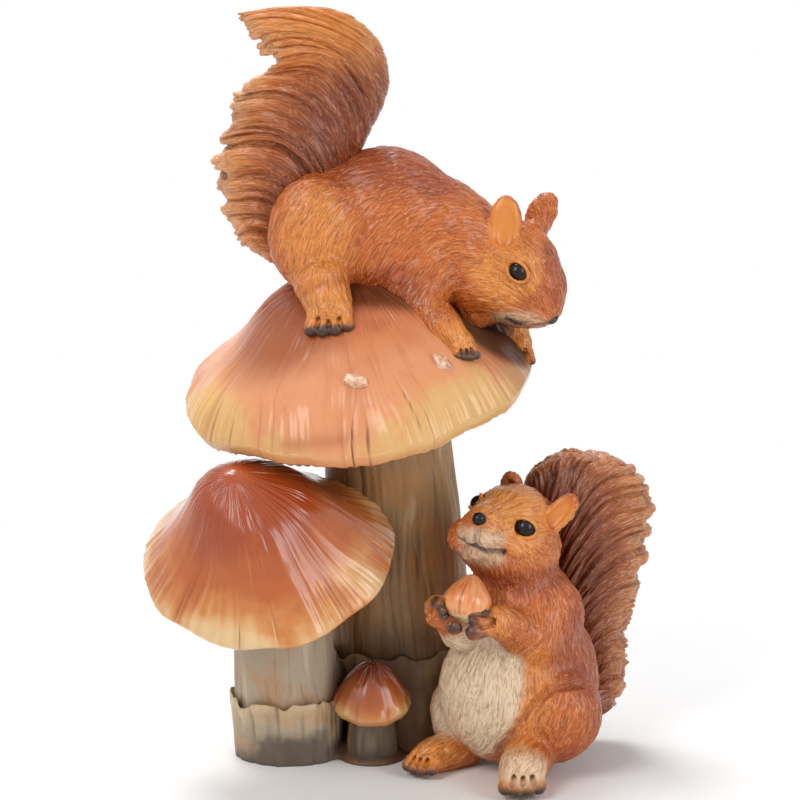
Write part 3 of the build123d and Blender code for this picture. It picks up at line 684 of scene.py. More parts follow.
class Sculpture:
    """A casting being sculpted: its clay, its painted zones and the lie of its hair, in shares of its size.

    The weight of a guide for the hair falls off with distance; side_share is how much distance in Y counts.
    """

    def __init__(self, place, size, side_share):
        self.place = place
        self.size = size
        self.side_share = side_share
        self.clay = Clay()
        self.zones = []
        self.guides = []

    def at(self, share):
        return self.place + np.array(share, float) * self.size

    def an_egg(self, centre, radii, tilt=0, turn=0):
        return Egg(self.at(centre), np.array(radii) * self.size, tilt, turn)

    def a_limb(self, start, end, start_radius, end_radius):
        return Limb(self.at(start), self.at(end), start_radius * self.size, end_radius * self.size)

    def egg(self, centre, radii, tilt=0, turn=0, blend=2.0):
        self.clay.add(self.an_egg(centre, radii, tilt, turn), blend)

    def limb(self, start, end, start_radius, end_radius, blend=2.0):
        self.clay.add(self.a_limb(start, end, start_radius, end_radius), blend)

    def scoop(self, centre, radii, tilt=0, blend=0.6):
        self.clay.cut(self.an_egg(centre, radii, tilt), blend)

    def groove(self, places, radius, blend=0.3):
        """A line cut into the surface through some places."""
        for start, end in zip(places, places[1:]):
            self.clay.cut(self.a_limb(start, end, radius, radius), blend)

    def zone(self, layer, centre, radii, soft=2.0, strength=1.0, tilt=0, turn=0):
        """Paints one layer within an ellipsoid; a negative strength wipes it off."""
        self.zones.append((layer, self.an_egg(centre, radii, tilt, turn), soft, strength))

    def paint(self, zones):
        for zone in zones:
            self.zone(*zone)

    def line(self, layer, places, radius, soft=1.0, strength=1.0):
        """Paints one layer along a line through some places."""
        for start, end in zip(places, places[1:]):
            self.zones.append((layer, self.a_limb(start, end, radius, radius), soft, strength))

    def build(self, body, limbs, toes, combing):
        """Adds the masses, limbs and toes of an animal's tables, and the guides for the lie of its hair."""
        for centre, radii, tilt, blend in body:
            self.egg(centre, radii, tilt, 0, blend)
        for limb in limbs:
            self.limb(*limb)
        for foot in toes:
            self.toes(*foot)
        for place, direction, reach in combing:
            self.guides.append((np.array(place), unit(direction), reach, None))

    def comb_away(self, place, source, reach):
        """A guide whose hair leaves a place on all sides."""
        self.guides.append((np.array(place), None, reach, np.array(source)))

    def toes(self, start, tip, spread, radius):
        """Four toes fanned from a foot to a rounded row of tips, with painted ends, claws and partings."""
        start, tip, spread = (np.array(v, float) for v in (start, tip, spread))
        for i in range(4):
            side = (2 * i + 1) / 4 - 1
            root = start + spread * (side / 2)
            end = tip + spread * side - (tip - start) * (side**2 / 4)
            knuckle = (root + end) / 2 + np.array((0, 0, radius * 0.35))
            self.limb(root, knuckle, radius, radius * 1.08, 1.2)
            self.limb(knuckle, end, radius * 1.02, radius * 0.88, 0.35)
            nail = end + (end - knuckle) * 0.3
            self.limb(end, nail, radius * 0.6, radius * 0.45, 0.3)
            self.zone("dark", nail - (0, 0, radius * 0.5), (radius * 1.15,) * 3, radius * 1.2 * self.size)
            self.zone("bald", nail, (radius * 1.8,) * 3, radius * self.size, 0.7)
        out = unit(np.cross(spread, tip - start))
        out = out * np.sign(out[2] + 1e-9) * radius
        for side in (-0.5, 0, 0.5):
            parting = (start + spread * side / 2 + out * 1.15, tip + spread * side + out * 0.75)
            self.groove(parting, radius * 0.3, 0.5)

    def eye_socket(self, centre, normal, radius, corner):
        """A socket round an eye, with lids along an oval: 1.22 cos(turn) to the corners and 0.9 sin(turn)
        across, closer to the face at the corners."""
        normal = unit(np.array(normal, float))
        middle = np.array(centre)
        corner = on_surface(np.array(corner, float), normal)
        across = np.cross(normal, corner)
        self.scoop(middle + normal * radius * 0.35, (radius * 1.04,) * 3, 0, 0.5)
        turn = np.linspace(0, 2 * math.pi, 17)[:, None]
        out = normal * (0.5 - 0.42 * np.cos(turn) ** 2)
        lids = middle + radius * (out + corner * 1.22 * np.cos(turn) + across * 0.9 * np.sin(turn))
        for start, end in zip(lids, lids[1:]):
            self.limb(start, end, radius * 0.19, radius * 0.19, 0.45)
        self.zone("gold", middle + normal * radius * 0.5, (radius * 2.6,) * 3, 3.0, 0.85)
        self.line("pale", lids, radius * 0.12, 0.5, 0.55)
        self.zone("bald", middle + normal * radius * 0.5, (radius * 1.25,) * 3, 0.8)

    def lie(self, points):
        """The lie of the hair at some points, blended from the guides by their distance."""
        total = np.zeros_like(points)
        for place, direction, reach, source in self.guides:
            offset = (points - self.at(place)) * (1, self.side_share, 1) / (reach * self.size)
            weight = np.exp(-(offset**2).sum(-1) / 2) + 1e-6
            way = unit(points - self.at(source)) if direction is None else direction
            total += weight[:, None] * way
        return unit(total)

    def skin(self, seed):
        """Skins the clay and combs it: points, faces and layers, among them the painted zones."""
        s = sizes()
        points, faces = self.clay.skin(s.grain)
        normals = self.clay.slope(points)
        layers = {layer: np.zeros(len(points)) for layer in LAYERS}
        for layer, shape, soft, strength in self.zones:
            cover = fade(shape.distance(points), soft)
            wiped = layers[layer] * (1 + min(strength, 0) * cover)
            layers[layer] = np.maximum(wiped, strength * cover)

        def along(places):
            return on_surface(self.lie(places), normals)

        fine = strand(comb(points, along, s.fur_pitch, FINE_REACH, seed))
        locks = strand(comb(points, along, s.fur_pitch * LOCK_WIDTH, LOCK_REACH, seed + 1))
        hair = 1 - layers["bald"]
        layers["groove"] = (fine + 0.7 * locks) * hair
        layers["lie"] = along(points)
        lift = (fine + 0.8 * locks) * s.fur_depth
        points = points + normals * (lift * hair)[:, None]
        points[:, 2] = np.maximum(points[:, 2], 0)
        return points, [faces], layers


# The masses of the upper squirrel: middle, radii, tilt and blend
UPPER_BODY = (
    ((-0.09, 0.07, 0.13), (0.165, 0.185, 0.2), 0, 4.0),
    ((0.12, 0.08, 0.12), (0.255, 0.21, 0.275), 12, 6.0),
    ((0.3, 0.08, 0.07), (0.2, 0.18, 0.205), 35, 6.0),
    ((0.555, 0.045, 0.03), (0.13, 0.125, 0.125), 20, 5.0),
    ((0.24, -0.06, -0.01), (0.1, 0.07, 0.13), 20, 3.0),
    ((0.34, 0.2, -0.01), (0.1, 0.07, 0.13), 20, 3.0),
    ((-0.11, -0.07, 0.13), (0.14, 0.08, 0.185), 0, 5.0),
    ((-0.105, 0.235, 0.08), (0.14, 0.08, 0.185), 0, 4.0),
    ((0.5, -0.035, -0.06), (0.085, 0.05, 0.07), 30, 3.0),
    ((0.54, -0.062, 0.048), (0.06, 0.026, 0.024), 30, 2.0),
    # Chest mass that fills the gap below the chin; the dark zone in UPPER_PAINT paints it as shade
    ((0.51, 0.13, -0.18), (0.09, 0.06, 0.085), 30, 3.0),
    ((0.59, -0.016, -0.13), (0.08, 0.06, 0.054), 22, 2.0),
    # Another mass filling that gap, also painted dark as shade
    ((0.43, 0.03, -0.15), (0.06, 0.05, 0.05), 0, 2.0),
)
# Its limbs: start, end, the radius at each, and blend
UPPER_LIMBS = (
    ((0.31, 0.085, 0.11), (0.5, 0.055, 0.02), 0.16, 0.12, 5.0),
    ((0.59, 0.03, -0.01), (0.615, 0.015, -0.06), 0.11, 0.105, 3.0),
    ((0.62, 0.01, -0.06), (0.65, -0.015, -0.115), 0.09, 0.056, 2.5),
    ((0.445, 0.045, -0.05), (0.555, 0.02, -0.115), 0.12, 0.076, 3.0),
    ((-0.075, -0.13, -0.03), (-0.048, -0.178, -0.1), 0.09, 0.072, 3.0),
    ((-0.07, 0.305, -0.12), (-0.005, 0.355, -0.17), 0.072, 0.055, 1.5),
    ((0.215, -0.045, -0.065), (0.305, -0.135, -0.155), 0.092, 0.06, 3.0),
    ((0.305, -0.135, -0.155), (0.372, -0.185, -0.21), 0.06, 0.044, 1.8),
    ((0.33, 0.205, -0.065), (0.51, 0.2, -0.165), 0.08, 0.055, 3.0),
    ((0.51, 0.2, -0.165), (0.572, 0.11, -0.265), 0.052, 0.042, 1.8),
)
# The lie of its hair: a place, a direction and a reach
UPPER_COMBING = (
    ((0.13, 0.08, 0.37), (-1, 0, 0.05), 0.1),
    ((-0.12, 0.08, 0.27), (-0.8, 0, -0.6), 0.1),
    ((-0.14, 0, 0.12), (-0.25, 0, -1), 0.09),
    ((-0.08, -0.1, -0.02), (0.2, 0, -1), 0.07),
    ((-0.05, -0.18, -0.13), (0.25, -0.4, -0.9), 0.06),
    ((0.08, 0, 0.14), (-0.55, 0, -0.85), 0.09),
    ((0.27, 0, 0.2), (-0.85, 0, -0.3), 0.09),
    ((0.26, 0, -0.01), (-0.5, 0, -0.85), 0.08),
    ((0.42, 0, 0.09), (-0.95, 0, 0.2), 0.08),
    ((0.4, 0, -0.04), (-0.95, 0, -0.1), 0.07),
    ((0.31, -0.14, -0.19), (0.55, -0.4, -0.85), 0.07),
    ((0.5, 0.18, -0.22), (0.4, -0.4, -0.85), 0.08),
)
# Its toes: where they leave the foot, the tip, half their spread, and a toe's radius
UPPER_TOES = (
    ((-0.05, -0.185, -0.1), (-0.052, -0.235, -0.152), (0.078, 0.0, 0.008), 0.027),
    ((0.0, 0.36, -0.18), (0.03, 0.4, -0.22), (0.05, -0.03, 0.0), 0.022),
    ((0.38, -0.195, -0.215), (0.392, -0.232, -0.24), (0.04, 0.0, 0.0), 0.0165),
    ((0.577, 0.1, -0.275), (0.588, 0.056, -0.318), (0.032, 0.0, 0.0), 0.0155),
)
# Its painted zones: layer, middle, radii, softness, strength and tilt
UPPER_PAINT = (
    ("red", (0.1, 0.08, 0.42), (0.4, 0.3, 0.17), 9, 0.9, 14),
    ("red", (-0.2, 0.1, 0.25), (0.12, 0.16, 0.16), 8, 0.7),
    ("red", (0.67, 0.0, -0.02), (0.06, 0.1, 0.12), 6, 0.7),
    ("red", (0.14, -0.12, -0.04), (0.12, 0.12, 0.07), 8, 0.9),
    ("gold", (-0.1, -0.16, 0.12), (0.13, 0.09, 0.18), 8, 0.75),
    ("gold", (-0.05, -0.19, -0.09), (0.1, 0.1, 0.08), 6, 0.95),
    ("gold", (0.0, 0.35, -0.17), (0.1, 0.1, 0.08), 6, 0.95),
    ("gold", (0.36, -0.19, -0.2), (0.08, 0.08, 0.07), 6, 0.95),
    ("gold", (0.56, 0.12, -0.25), (0.08, 0.08, 0.1), 6, 0.95),
    ("gold", (0.513, -0.05, 0.165), (0.055, 0.04, 0.08), 3, 0.9),
    ("gold", (0.5, -0.1, -0.07), (0.07, 0.06, 0.06), 6, 0.6),
    ("gold", (0.52, 0.0, 0.1), (0.08, 0.1, 0.05), 5, 0.6),
    ("gold", (0.5, -0.1, 0.0), (0.11, 0.06, 0.09), 6, 0.9),
    ("red", (0.515, -0.03, 0.14), (0.012, 0.02, 0.03), 2.4, 0.8),
    ("bald", (0.513, -0.06, 0.165), (0.06, 0.05, 0.09), 1.5, 0.9),
    ("pale", (0.56, -0.05, -0.15), (0.09, 0.06, 0.03), 4, 0.6),
    ("dark", (0.57, -0.08, -0.168), (0.045, 0.03, 0.013), 1.5, 0.8, 25),
    # Painted shade under the chin and between the forelegs, over the chest masses there
    ("dark", (0.47, 0.08, -0.2), (0.075, 0.09, 0.06), 4, 0.85),
    ("dark", (-0.04, -0.25, -0.158), (0.1, 0.04, 0.027), 1.8, 0.95),
    ("dark", (0.4, -0.245, -0.24), (0.055, 0.035, 0.024), 1.8, 0.9),
)


def sculpt_upper():
    """The squirrel on the cap: head down to the right, with its paws over the edge."""
    s = Sculpture(UPPER_SEAT, UPPER_LENGTH, 0.35)
    s.build(UPPER_BODY, UPPER_LIMBS, UPPER_TOES, UPPER_COMBING)
    s.comb_away((0.57, 0, -0.03), (0.68, -0.02, -0.17), 0.085)
    # Ears, with a hollow in each
    s.limb((0.52, 0.005, 0.08), (0.513, -0.02, 0.12), 0.045, 0.036, 1.5)
    s.egg((0.516, -0.028, 0.157), (0.053, 0.026, 0.095), 4, 0, 1.0)
    s.scoop((0.517, -0.055, 0.153), (0.037, 0.022, 0.075), 4)
    s.limb((0.6, 0.1, 0.09), (0.635, 0.13, 0.13), 0.045, 0.036, 1.5)
    s.egg((0.64, 0.135, 0.165), (0.048, 0.026, 0.076), 28, 0, 1.0)
    s.scoop((0.65, 0.162, 0.162), (0.03, 0.024, 0.054), 28)
    # Eyes, nose and mouth
    for eye, facing in zip(UPPER_EYES, ((-0.19, -0.98, 0.1), (0.35, 0.93, 0.1))):
        s.eye_socket(eye, facing, 0.032, (0.7, 0, -0.7))
    s.egg((0.667, -0.03, -0.15), (0.024, 0.024, 0.022), 40, 0, 0.8)
    s.egg((0.637, -0.052, -0.13), (0.035, 0.024, 0.03), 40, 0, 1.0)
    s.egg((0.662, 0.01, -0.135), (0.03, 0.024, 0.03), 40, 0, 1.0)
    mouth = (
        (0.683, -0.047, -0.15), (0.65, -0.062, -0.17), (0.6, -0.072, -0.178), (0.56, -0.06, -0.172),
        (0.527, -0.047, -0.153),
    )
    s.groove(mouth, 0.007)
    s.line("dark", mouth, 0.012, 1.2, 0.95)
    s.zone("dark", (0.672, -0.035, -0.155), (0.024, 0.024, 0.02), 1.2, 0.95)
    s.zone("bald", (0.672, -0.035, -0.155), (0.03, 0.03, 0.026), 1.2)
    s.paint(UPPER_PAINT)
    return s


# The same for the lower squirrel
LOWER_BODY = (
    ((-0.027, 0.0, 0.27), (0.232, 0.227, 0.253), 0, 4.0),
    ((0.1, 0.06, 0.31), (0.18, 0.196, 0.258), -8, 5.0),
    ((0.006, 0.01, 0.5), (0.196, 0.186, 0.196), 0, 5.0),
    ((-0.012, 0.02, 0.83), (0.143, 0.152, 0.146), 25, 4.0),
    ((0.135, -0.1, 0.21), (0.148, 0.138, 0.165), 20, 0.9),
    ((-0.154, 0.062, 0.17), (0.134, 0.113, 0.155), 0, 1.6),
    ((-0.12, -0.1, 0.775), (0.06, 0.06, 0.035), -15, 2.0),
    ((0.11, -0.05, 0.54), (0.1, 0.07, 0.1), 0, 3.0),
)
LOWER_LIMBS = (
    ((0.012, 0.02, 0.575), (-0.008, 0.01, 0.715), 0.16, 0.135, 5.0),
    ((0.035, -0.035, 0.775), (-0.02, -0.06, 0.765), 0.108, 0.112, 3.5),
    ((-0.06, -0.06, 0.84), (-0.115, -0.145, 0.867), 0.129, 0.077, 3.0),
    ((-0.11, -0.04, 0.782), (-0.172, -0.072, 0.818), 0.093, 0.062, 2.5),
    ((0.043, -0.165, 0.1), (0.012, -0.285, 0.075), 0.085, 0.078, 1.6),
    ((-0.18, 0.02, 0.064), (-0.29, -0.08, 0.056), 0.075, 0.058, 1.6),
    ((0.11, -0.04, 0.558), (0.05, -0.145, 0.492), 0.1, 0.07, 6.0),
    ((0.05, -0.145, 0.492), (-0.07, -0.24, 0.575), 0.068, 0.056, 3.0),
    ((-0.13, -0.03, 0.55), (-0.19, -0.1, 0.5), 0.085, 0.06, 2.0),
    ((-0.19, -0.1, 0.5), (-0.262, -0.18, 0.6), 0.06, 0.048, 1.5),
    ((-0.08, -0.262, 0.566), (-0.152, -0.308, 0.556), 0.032, 0.026, 0.8),
    ((-0.275, -0.225, 0.58), (-0.212, -0.298, 0.57), 0.03, 0.024, 0.8),
)
LOWER_COMBING = (
    ((0.0, -0.2, 0.3), (-0.05, 0, -1), 0.1),
    ((0.0, -0.15, 0.5), (0.0, 0, -1), 0.08),
    ((0.2, 0.1, 0.35), (0.35, 0.3, -0.9), 0.12),
    ((0.16, 0.15, 0.6), (0.35, 0.4, -0.85), 0.1),
    ((0.133, -0.15, 0.22), (-0.45, 0, -0.9), 0.09),
    ((-0.2, 0.0, 0.15), (-0.5, 0, -0.85), 0.09),
    ((0.12, -0.08, 0.54), (-0.35, -0.4, -0.85), 0.06),
    ((0.03, -0.2, 0.48), (-0.8, -0.3, 0.4), 0.05),
    ((-0.2, -0.1, 0.5), (-0.5, -0.4, 0.2), 0.05),
    ((0.02, -0.25, 0.08), (-0.3, -0.9, -0.2), 0.07),
    ((-0.25, -0.05, 0.06), (-0.9, -0.5, -0.1), 0.07),
    ((0.01, -0.05, 0.65), (0.1, 0.1, -1), 0.08),
)
LOWER_TOES = (
    ((0.012, -0.29, 0.07), (0.01, -0.368, 0.038), (0.07, 0.01, 0.0), 0.032),
    ((-0.29, -0.09, 0.055), (-0.33, -0.145, 0.034), (-0.05, 0.03, 0.0), 0.026),
    ((-0.085, -0.262, 0.575), (-0.145, -0.3, 0.585), (-0.02, 0.0, 0.036), 0.021),
    ((-0.272, -0.2, 0.6), (-0.245, -0.262, 0.605), (-0.012, 0.0, 0.042), 0.02),
)
LOWER_BELLY = (
    ("pale", (-0.17, -0.2, 0.27), (0.165, 0.3, 0.3), 5, 1.0, 22),
    ("gold", (0.0, -0.22, 0.28), (0.1, 0.12, 0.2), 10, 0.7, 22),
    ("pale", (-0.15, -0.15, 0.46), (0.14, 0.16, 0.11), 5, 0.9),
)
LOWER_PAINT = (
    ("pale", (0.133, -0.1, 0.2), (0.13, 0.12, 0.15), 4, -1.0, 20),
    ("pale", (-0.13, -0.17, 0.84), (0.09, 0.08, 0.05), 4, 0.8, 0, 30),
    ("pale", (-0.12, -0.13, 0.77), (0.09, 0.08, 0.04), 4, 0.75, 0, 30),
    ("gold", (0.03, -0.1, 0.77), (0.1, 0.08, 0.06), 5, 0.3),
    ("gold", (0.005, -0.3, 0.07), (0.1, 0.12, 0.08), 6, 0.95),
    ("gold", (-0.28, -0.08, 0.05), (0.12, 0.1, 0.08), 6, 0.9),
    ("gold", (-0.08, -0.26, 0.58), (0.06, 0.06, 0.06), 5, 0.7),
    ("gold", (-0.25, -0.18, 0.6), (0.06, 0.06, 0.06), 5, 0.7),
    ("gold", (0.14, -0.04, 0.885), (0.06, 0.04, 0.06), 3, 0.85),
    # Gold on the top of the head at full strength: partly the fur's own gold, partly painted light where
    # light from above falls
    ("gold", (-0.02, -0.1, 0.92), (0.15, 0.14, 0.1), 6, 1.0),
    ("red", (0.22, 0.1, 0.35), (0.16, 0.3, 0.36), 9, 0.85),
    ("red", (0.03, -0.05, 0.68), (0.17, 0.2, 0.05), 6, 0.95),
    ("pale", (-0.26, -0.09, 0.05), (0.13, 0.15, 0.075), 4, -1.0),
    ("pale", (0.01, -0.31, 0.09), (0.09, 0.1, 0.06), 4, 0.75),
    ("red", (0.16, -0.12, 0.18), (0.1, 0.1, 0.12), 7, 0.55),
    ("bald", (0.134, -0.07, 0.89), (0.04, 0.04, 0.08), 1.5, 0.9, 42),
)
LOWER_FINGERTIPS = (
    (-0.12, -0.29, 0.625), (-0.155, -0.31, 0.558), (-0.212, -0.3, 0.572), (-0.286, -0.235, 0.642),
)


def sculpt_lower():
    """The squirrel at the foot: sitting up, with a nut in its paws and its nose to the left."""
    s = Sculpture(LOWER_PLACE, LOWER_HEIGHT, 0.6)
    s.build(LOWER_BODY, LOWER_LIMBS, LOWER_TOES, LOWER_COMBING)
    s.comb_away((0.0, -0.03, 0.84), (-0.15, -0.22, 0.9), 0.1)
    # Ears, with a hollow in each
    s.egg((-0.014, 0.1, 0.95), (0.037, 0.026, 0.052), -10, 0, 1.0)
    s.scoop((-0.026, 0.074, 0.952), (0.022, 0.018, 0.034), -10)
    s.limb((0.07, -0.01, 0.84), (0.115, -0.03, 0.87), 0.05, 0.036, 1.5)
    s.egg((0.136, -0.038, 0.885), (0.042, 0.028, 0.09), 42, 0, 1.0)
    s.scoop((0.134, -0.062, 0.89), (0.027, 0.02, 0.068), 42)
    # Eyes, muzzle and mouth
    s.eye_socket(LOWER_EYES[0], (-0.25, -0.95, 0.2), 0.035, (1, 0, -0.35))
    s.eye_socket(LOWER_EYES[1], (-0.75, 0.1, 0.65), 0.031, (0.3, -1, -0.2))
    s.egg((-0.102, -0.178, 0.852), (0.045, 0.036, 0.034), -10, 30, 1.2)
    s.egg((-0.165, -0.13, 0.862), (0.042, 0.034, 0.034), -10, 30, 1.2)
    s.egg((-0.12, -0.145, 0.792), (0.055, 0.045, 0.026), -10, 30, 1.4)
    mouth = (
        (-0.215, -0.13, 0.835), (-0.18, -0.165, 0.826), (-0.14, -0.195, 0.822),
        (-0.095, -0.19, 0.797), (-0.05, -0.17, 0.795),
    )
    s.groove(mouth, 0.009)
    s.line("dark", mouth, 0.011, 1.0, 0.9)
    lip = ((-0.134, -0.222, 0.885), (-0.142, -0.208, 0.825))
    s.groove(lip, 0.008)
    s.line("dark", lip, 0.006, 1.2, 0.85)
    s.scoop(LOWER_NOSE, (0.022, 0.022, 0.022), 0, 0.4)
    # The arms wipe off the belly's paint behind them, and the thigh has a crease
    s.paint(LOWER_BELLY)
    s.line("pale", ((0.11, -0.1, 0.53), (0.05, -0.145, 0.492), (-0.07, -0.24, 0.575)), 0.08, 3.0, -1.0)
    s.line("pale", ((-0.235, -0.15, 0.56), (-0.262, -0.18, 0.6)), 0.06, 2.5, -1.0)
    s.paint(LOWER_PAINT)
    for tip in LOWER_FINGERTIPS:
        s.zone("dark", tip, (0.03, 0.03, 0.024), 2.0, 0.95)
    crease = (
        (-0.058, -0.176, 0.114), (-0.026, -0.207, 0.166), (0.004, -0.219, 0.211), (0.056, -0.212, 0.275),
        (0.11, -0.194, 0.325), (0.157, -0.184, 0.339), (0.208, -0.164, 0.336),
    )
    s.groove(crease, 0.014, 1.3)
    s.line("red", crease, 0.016, 2.0, 0.9)
    return s


# Tails


class Fan:
    """A tail: a fan of flat locks, each from the spine at the body's side to the outer edge.

    A row holds a lock's inner and outer end (X and Z) and half its thickness, as shares of the tail's height;
    the Catmull-Rom curve through the rows is followed between them. Round a row, the place along it is
    (1 - cos(turn)) / 2 and the place across it is its thickness times sin(turn). Locks part where
    |cos(pi phase)| is least, and the outer edge is notched there. The phase is the row plus
    sweep (1 - along)^2.6, so that the strands leave along the spine. Gold starts at bright_row, and bleach
    is how pale the outer ends are.
    """

    def __init__(self, root, locks, ends, depth, arch, sweep, notch, bright_row, bleach):
        first, last = ((*end, *end, 0.0) for end in ends)
        self.rows = np.array([first] + [(*inner, *outer, thick) for inner, outer, thick in locks] + [last])
        self.root = root
        self.depth = depth
        self.arch = arch
        self.sweep = sweep
        self.notch = notch
        self.bright_row = bright_row
        self.bleach = bleach

    def skin(self, rows, columns, seed):
        """Points and layers: the rows, with strands in three sizes laid along them."""
        row = np.linspace(0.03, len(self.rows) - 1.03, rows)
        turn = full_turn(columns)
        inner_x, inner_z, outer_x, outer_z, thick = through(self.rows, row).T[..., None]
        along = (1 - np.cos(turn)) / 2
        side = np.sin(turn)
        phase = row[:, None] + self.sweep * (1 - along) ** 2.6
        phase = phase + 0.16 * grain(stacked(phase * 0.9, along * 2.2, side), 1.0, seed)

        def strands(count, length, salt):
            return strand(2.2 * grain(stacked(phase * count, along * length, side * 1.3), 1.0, seed + salt))

        gap = 1 - np.abs(np.cos(math.pi * phase))
        broad, middle, fine = strands(2.0, 1.1, 1), strands(4.2, 1.6, 2), strands(10.0, 4.5, 3)
        ragged = self.notch * gap * (0.7 + 0.8 * grain(stacked(phase * 0.7, 0, 0), 1.0, seed))
        ragged = ragged + 0.006 * (0.4 - middle)
        reach = along * (1 - ragged * along**4)
        length = np.hypot(outer_x - inner_x, outer_z - inner_z)
        x = inner_x + (outer_x - inner_x) * reach
        z = inner_z + (outer_z - inner_z) * reach + self.arch * length * np.sin(math.pi * along)
        y = self.depth + thick * side * (1 - 0.3 * along) * (1 - 0.15 * gap * along)
        points = self.root + np.stack((x, y, z), -1) * TAIL_HEIGHT
        normals = grid_normals(points)
        body = np.clip(thick * TAIL_HEIGHT / 8, 0, 1)
        lift = (0.8 * broad + 1.25 * middle + 0.4 * fine) * body * (0.15 + 0.85 * ease(along, 0.01, 0.2))
        lie = np.roll(points, -1, axis=1) - np.roll(points, 1, axis=1)
        turned = 2.6 * self.sweep * (1 - along) ** 1.6 * side * 2 * math.pi / columns
        lie = lie + np.gradient(points, row, axis=0) * turned[..., None]
        points = points + normals * lift[..., None]
        inner = (1 - along) ** 1.5
        late = ease(row[:, None], self.bright_row, self.bright_row + 3.5)
        tipped = ease(along, 0.55, 1.0) * np.clip(0.8 + 0.4 * broad, 0, 1) * self.bleach
        layers = {
            "groove": 0.7 * broad + 0.9 * middle + 0.5 * fine - 0.5 * gap**3 * along,
            "lie": unit(lie),
            "red": np.clip(0.35 + inner * 1.1 - 0.7 * late, 0, 1),
            "gold": np.maximum(tipped, late * 0.75),
            "pale": 0.34 * self.bleach * ease(along, 0.75, 1.0),
        }
        return points, {**dict.fromkeys(LAYERS, np.zeros((1, 1))), **layers}


def tail_root(root, places, radii):
    """The muscle at a tail's root: rings along the Catmull-Rom curve through some places, closed to domes by
    the square root of 1 - t^8, and combed along the curve."""
    row = np.linspace(0.01, len(places) - 1.01, 70)
    turn = full_turn(64)
    spine = root + through(np.array(places), row) * TAIL_HEIGHT
    whole = 2 * row / (len(places) - 1) - 1
    radius = through(np.array(radii)[:, None], row)[:, 0] * TAIL_HEIGHT * np.sqrt(1 - whole**8)
    ahead = unit(np.gradient(spine, axis=0))
    side = unit(np.cross(ahead, (0, 1, 0)))
    back = np.cross(ahead, side)
    around = np.cos(turn)[..., None] * side[:, None] + np.sin(turn)[..., None] * back[:, None]
    ribs = strand(2.2 * grain(stacked(6 * np.cos(turn), 6 * np.sin(turn), row[:, None]), 1.0, 9))
    points = spine[:, None] + around * (radius[:, None] + 0.4 * ribs)[..., None]
    layers = {"groove": ribs, "lie": ahead[:, None], "red": np.full((1, 1), 0.5)}
    return wrap_grid(points, {**dict.fromkeys(LAYERS, np.zeros((1, 1))), **layers})


# The locks of each tail: inner end, outer end and half the thickness
UPPER_FAN = Fan(
    UPPER_TAIL_ROOT,
    (
        ((0.156, -0.047), (0.017, -0.055), 0.05), ((0.231, 0.049), (-0.098, 0.016), 0.1),
        ((0.297, 0.161), (-0.154, 0.132), 0.13), ((0.355, 0.277), (-0.185, 0.252), 0.16),
        ((0.404, 0.388), (-0.196, 0.359), 0.18), ((0.453, 0.49), (-0.183, 0.458), 0.185),
        ((0.502, 0.589), (-0.125, 0.572), 0.18), ((0.523, 0.686), (-0.071, 0.666), 0.165),
        ((0.507, 0.784), (0.027, 0.735), 0.14), ((0.466, 0.865), (-0.013, 0.808), 0.115),
        ((0.397, 0.926), (-0.053, 0.873), 0.085), ((0.304, 0.962), (-0.085, 0.93), 0.045),
    ),
    ends=((0.08, -0.08), (-0.092, 0.958)), depth=-0.025, arch=0.09, sweep=3.6, notch=0.07, bright_row=7.0,
    bleach=0.9,
)
LOWER_FAN = Fan(
    LOWER_TAIL_ROOT,
    (
        ((-0.15, -0.15), (-0.058, -0.125), 0.05), ((-0.159, -0.063), (0.042, -0.028), 0.09),
        ((-0.165, 0.033), (0.099, 0.06), 0.11), ((-0.17, 0.138), (0.106, 0.199), 0.12),
        ((-0.179, 0.234), (0.1, 0.295), 0.13), ((-0.188, 0.329), (0.12, 0.399), 0.14),
        ((-0.206, 0.429), (0.16, 0.502), 0.15), ((-0.224, 0.528), (0.183, 0.614), 0.155),
        ((-0.245, 0.631), (0.19, 0.726), 0.16), ((-0.267, 0.726), (0.2, 0.845), 0.155),
        ((-0.289, 0.807), (0.153, 0.973), 0.14), ((-0.31, 0.867), (0.027, 1.067), 0.11),
        ((-0.327, 0.905), (-0.13, 1.084), 0.08), ((-0.335, 0.935), (-0.249, 1.033), 0.045),
    ),
    ends=((-0.1, -0.168), (-0.315, 0.982)), depth=0.07, arch=0.09, sweep=3.0, notch=0.07, bright_row=12.0,
    bleach=0.45,
)


# The muscle at each tail's root: places of its curve from the root, and its radii there
UPPER_MUSCLE = (((0.06, -0.02, 0.02), (0.0, -0.013, 0.131), (0.02, -0.025, 0.278)), (0.04, 0.075, 0.09))
LOWER_MUSCLE = (((-0.15, -0.1, 0.1), (-0.07, -0.035, 0.02), (0.03, 0.005, 0.04)), (0.055, 0.065, 0.05))


# Mushroom caps


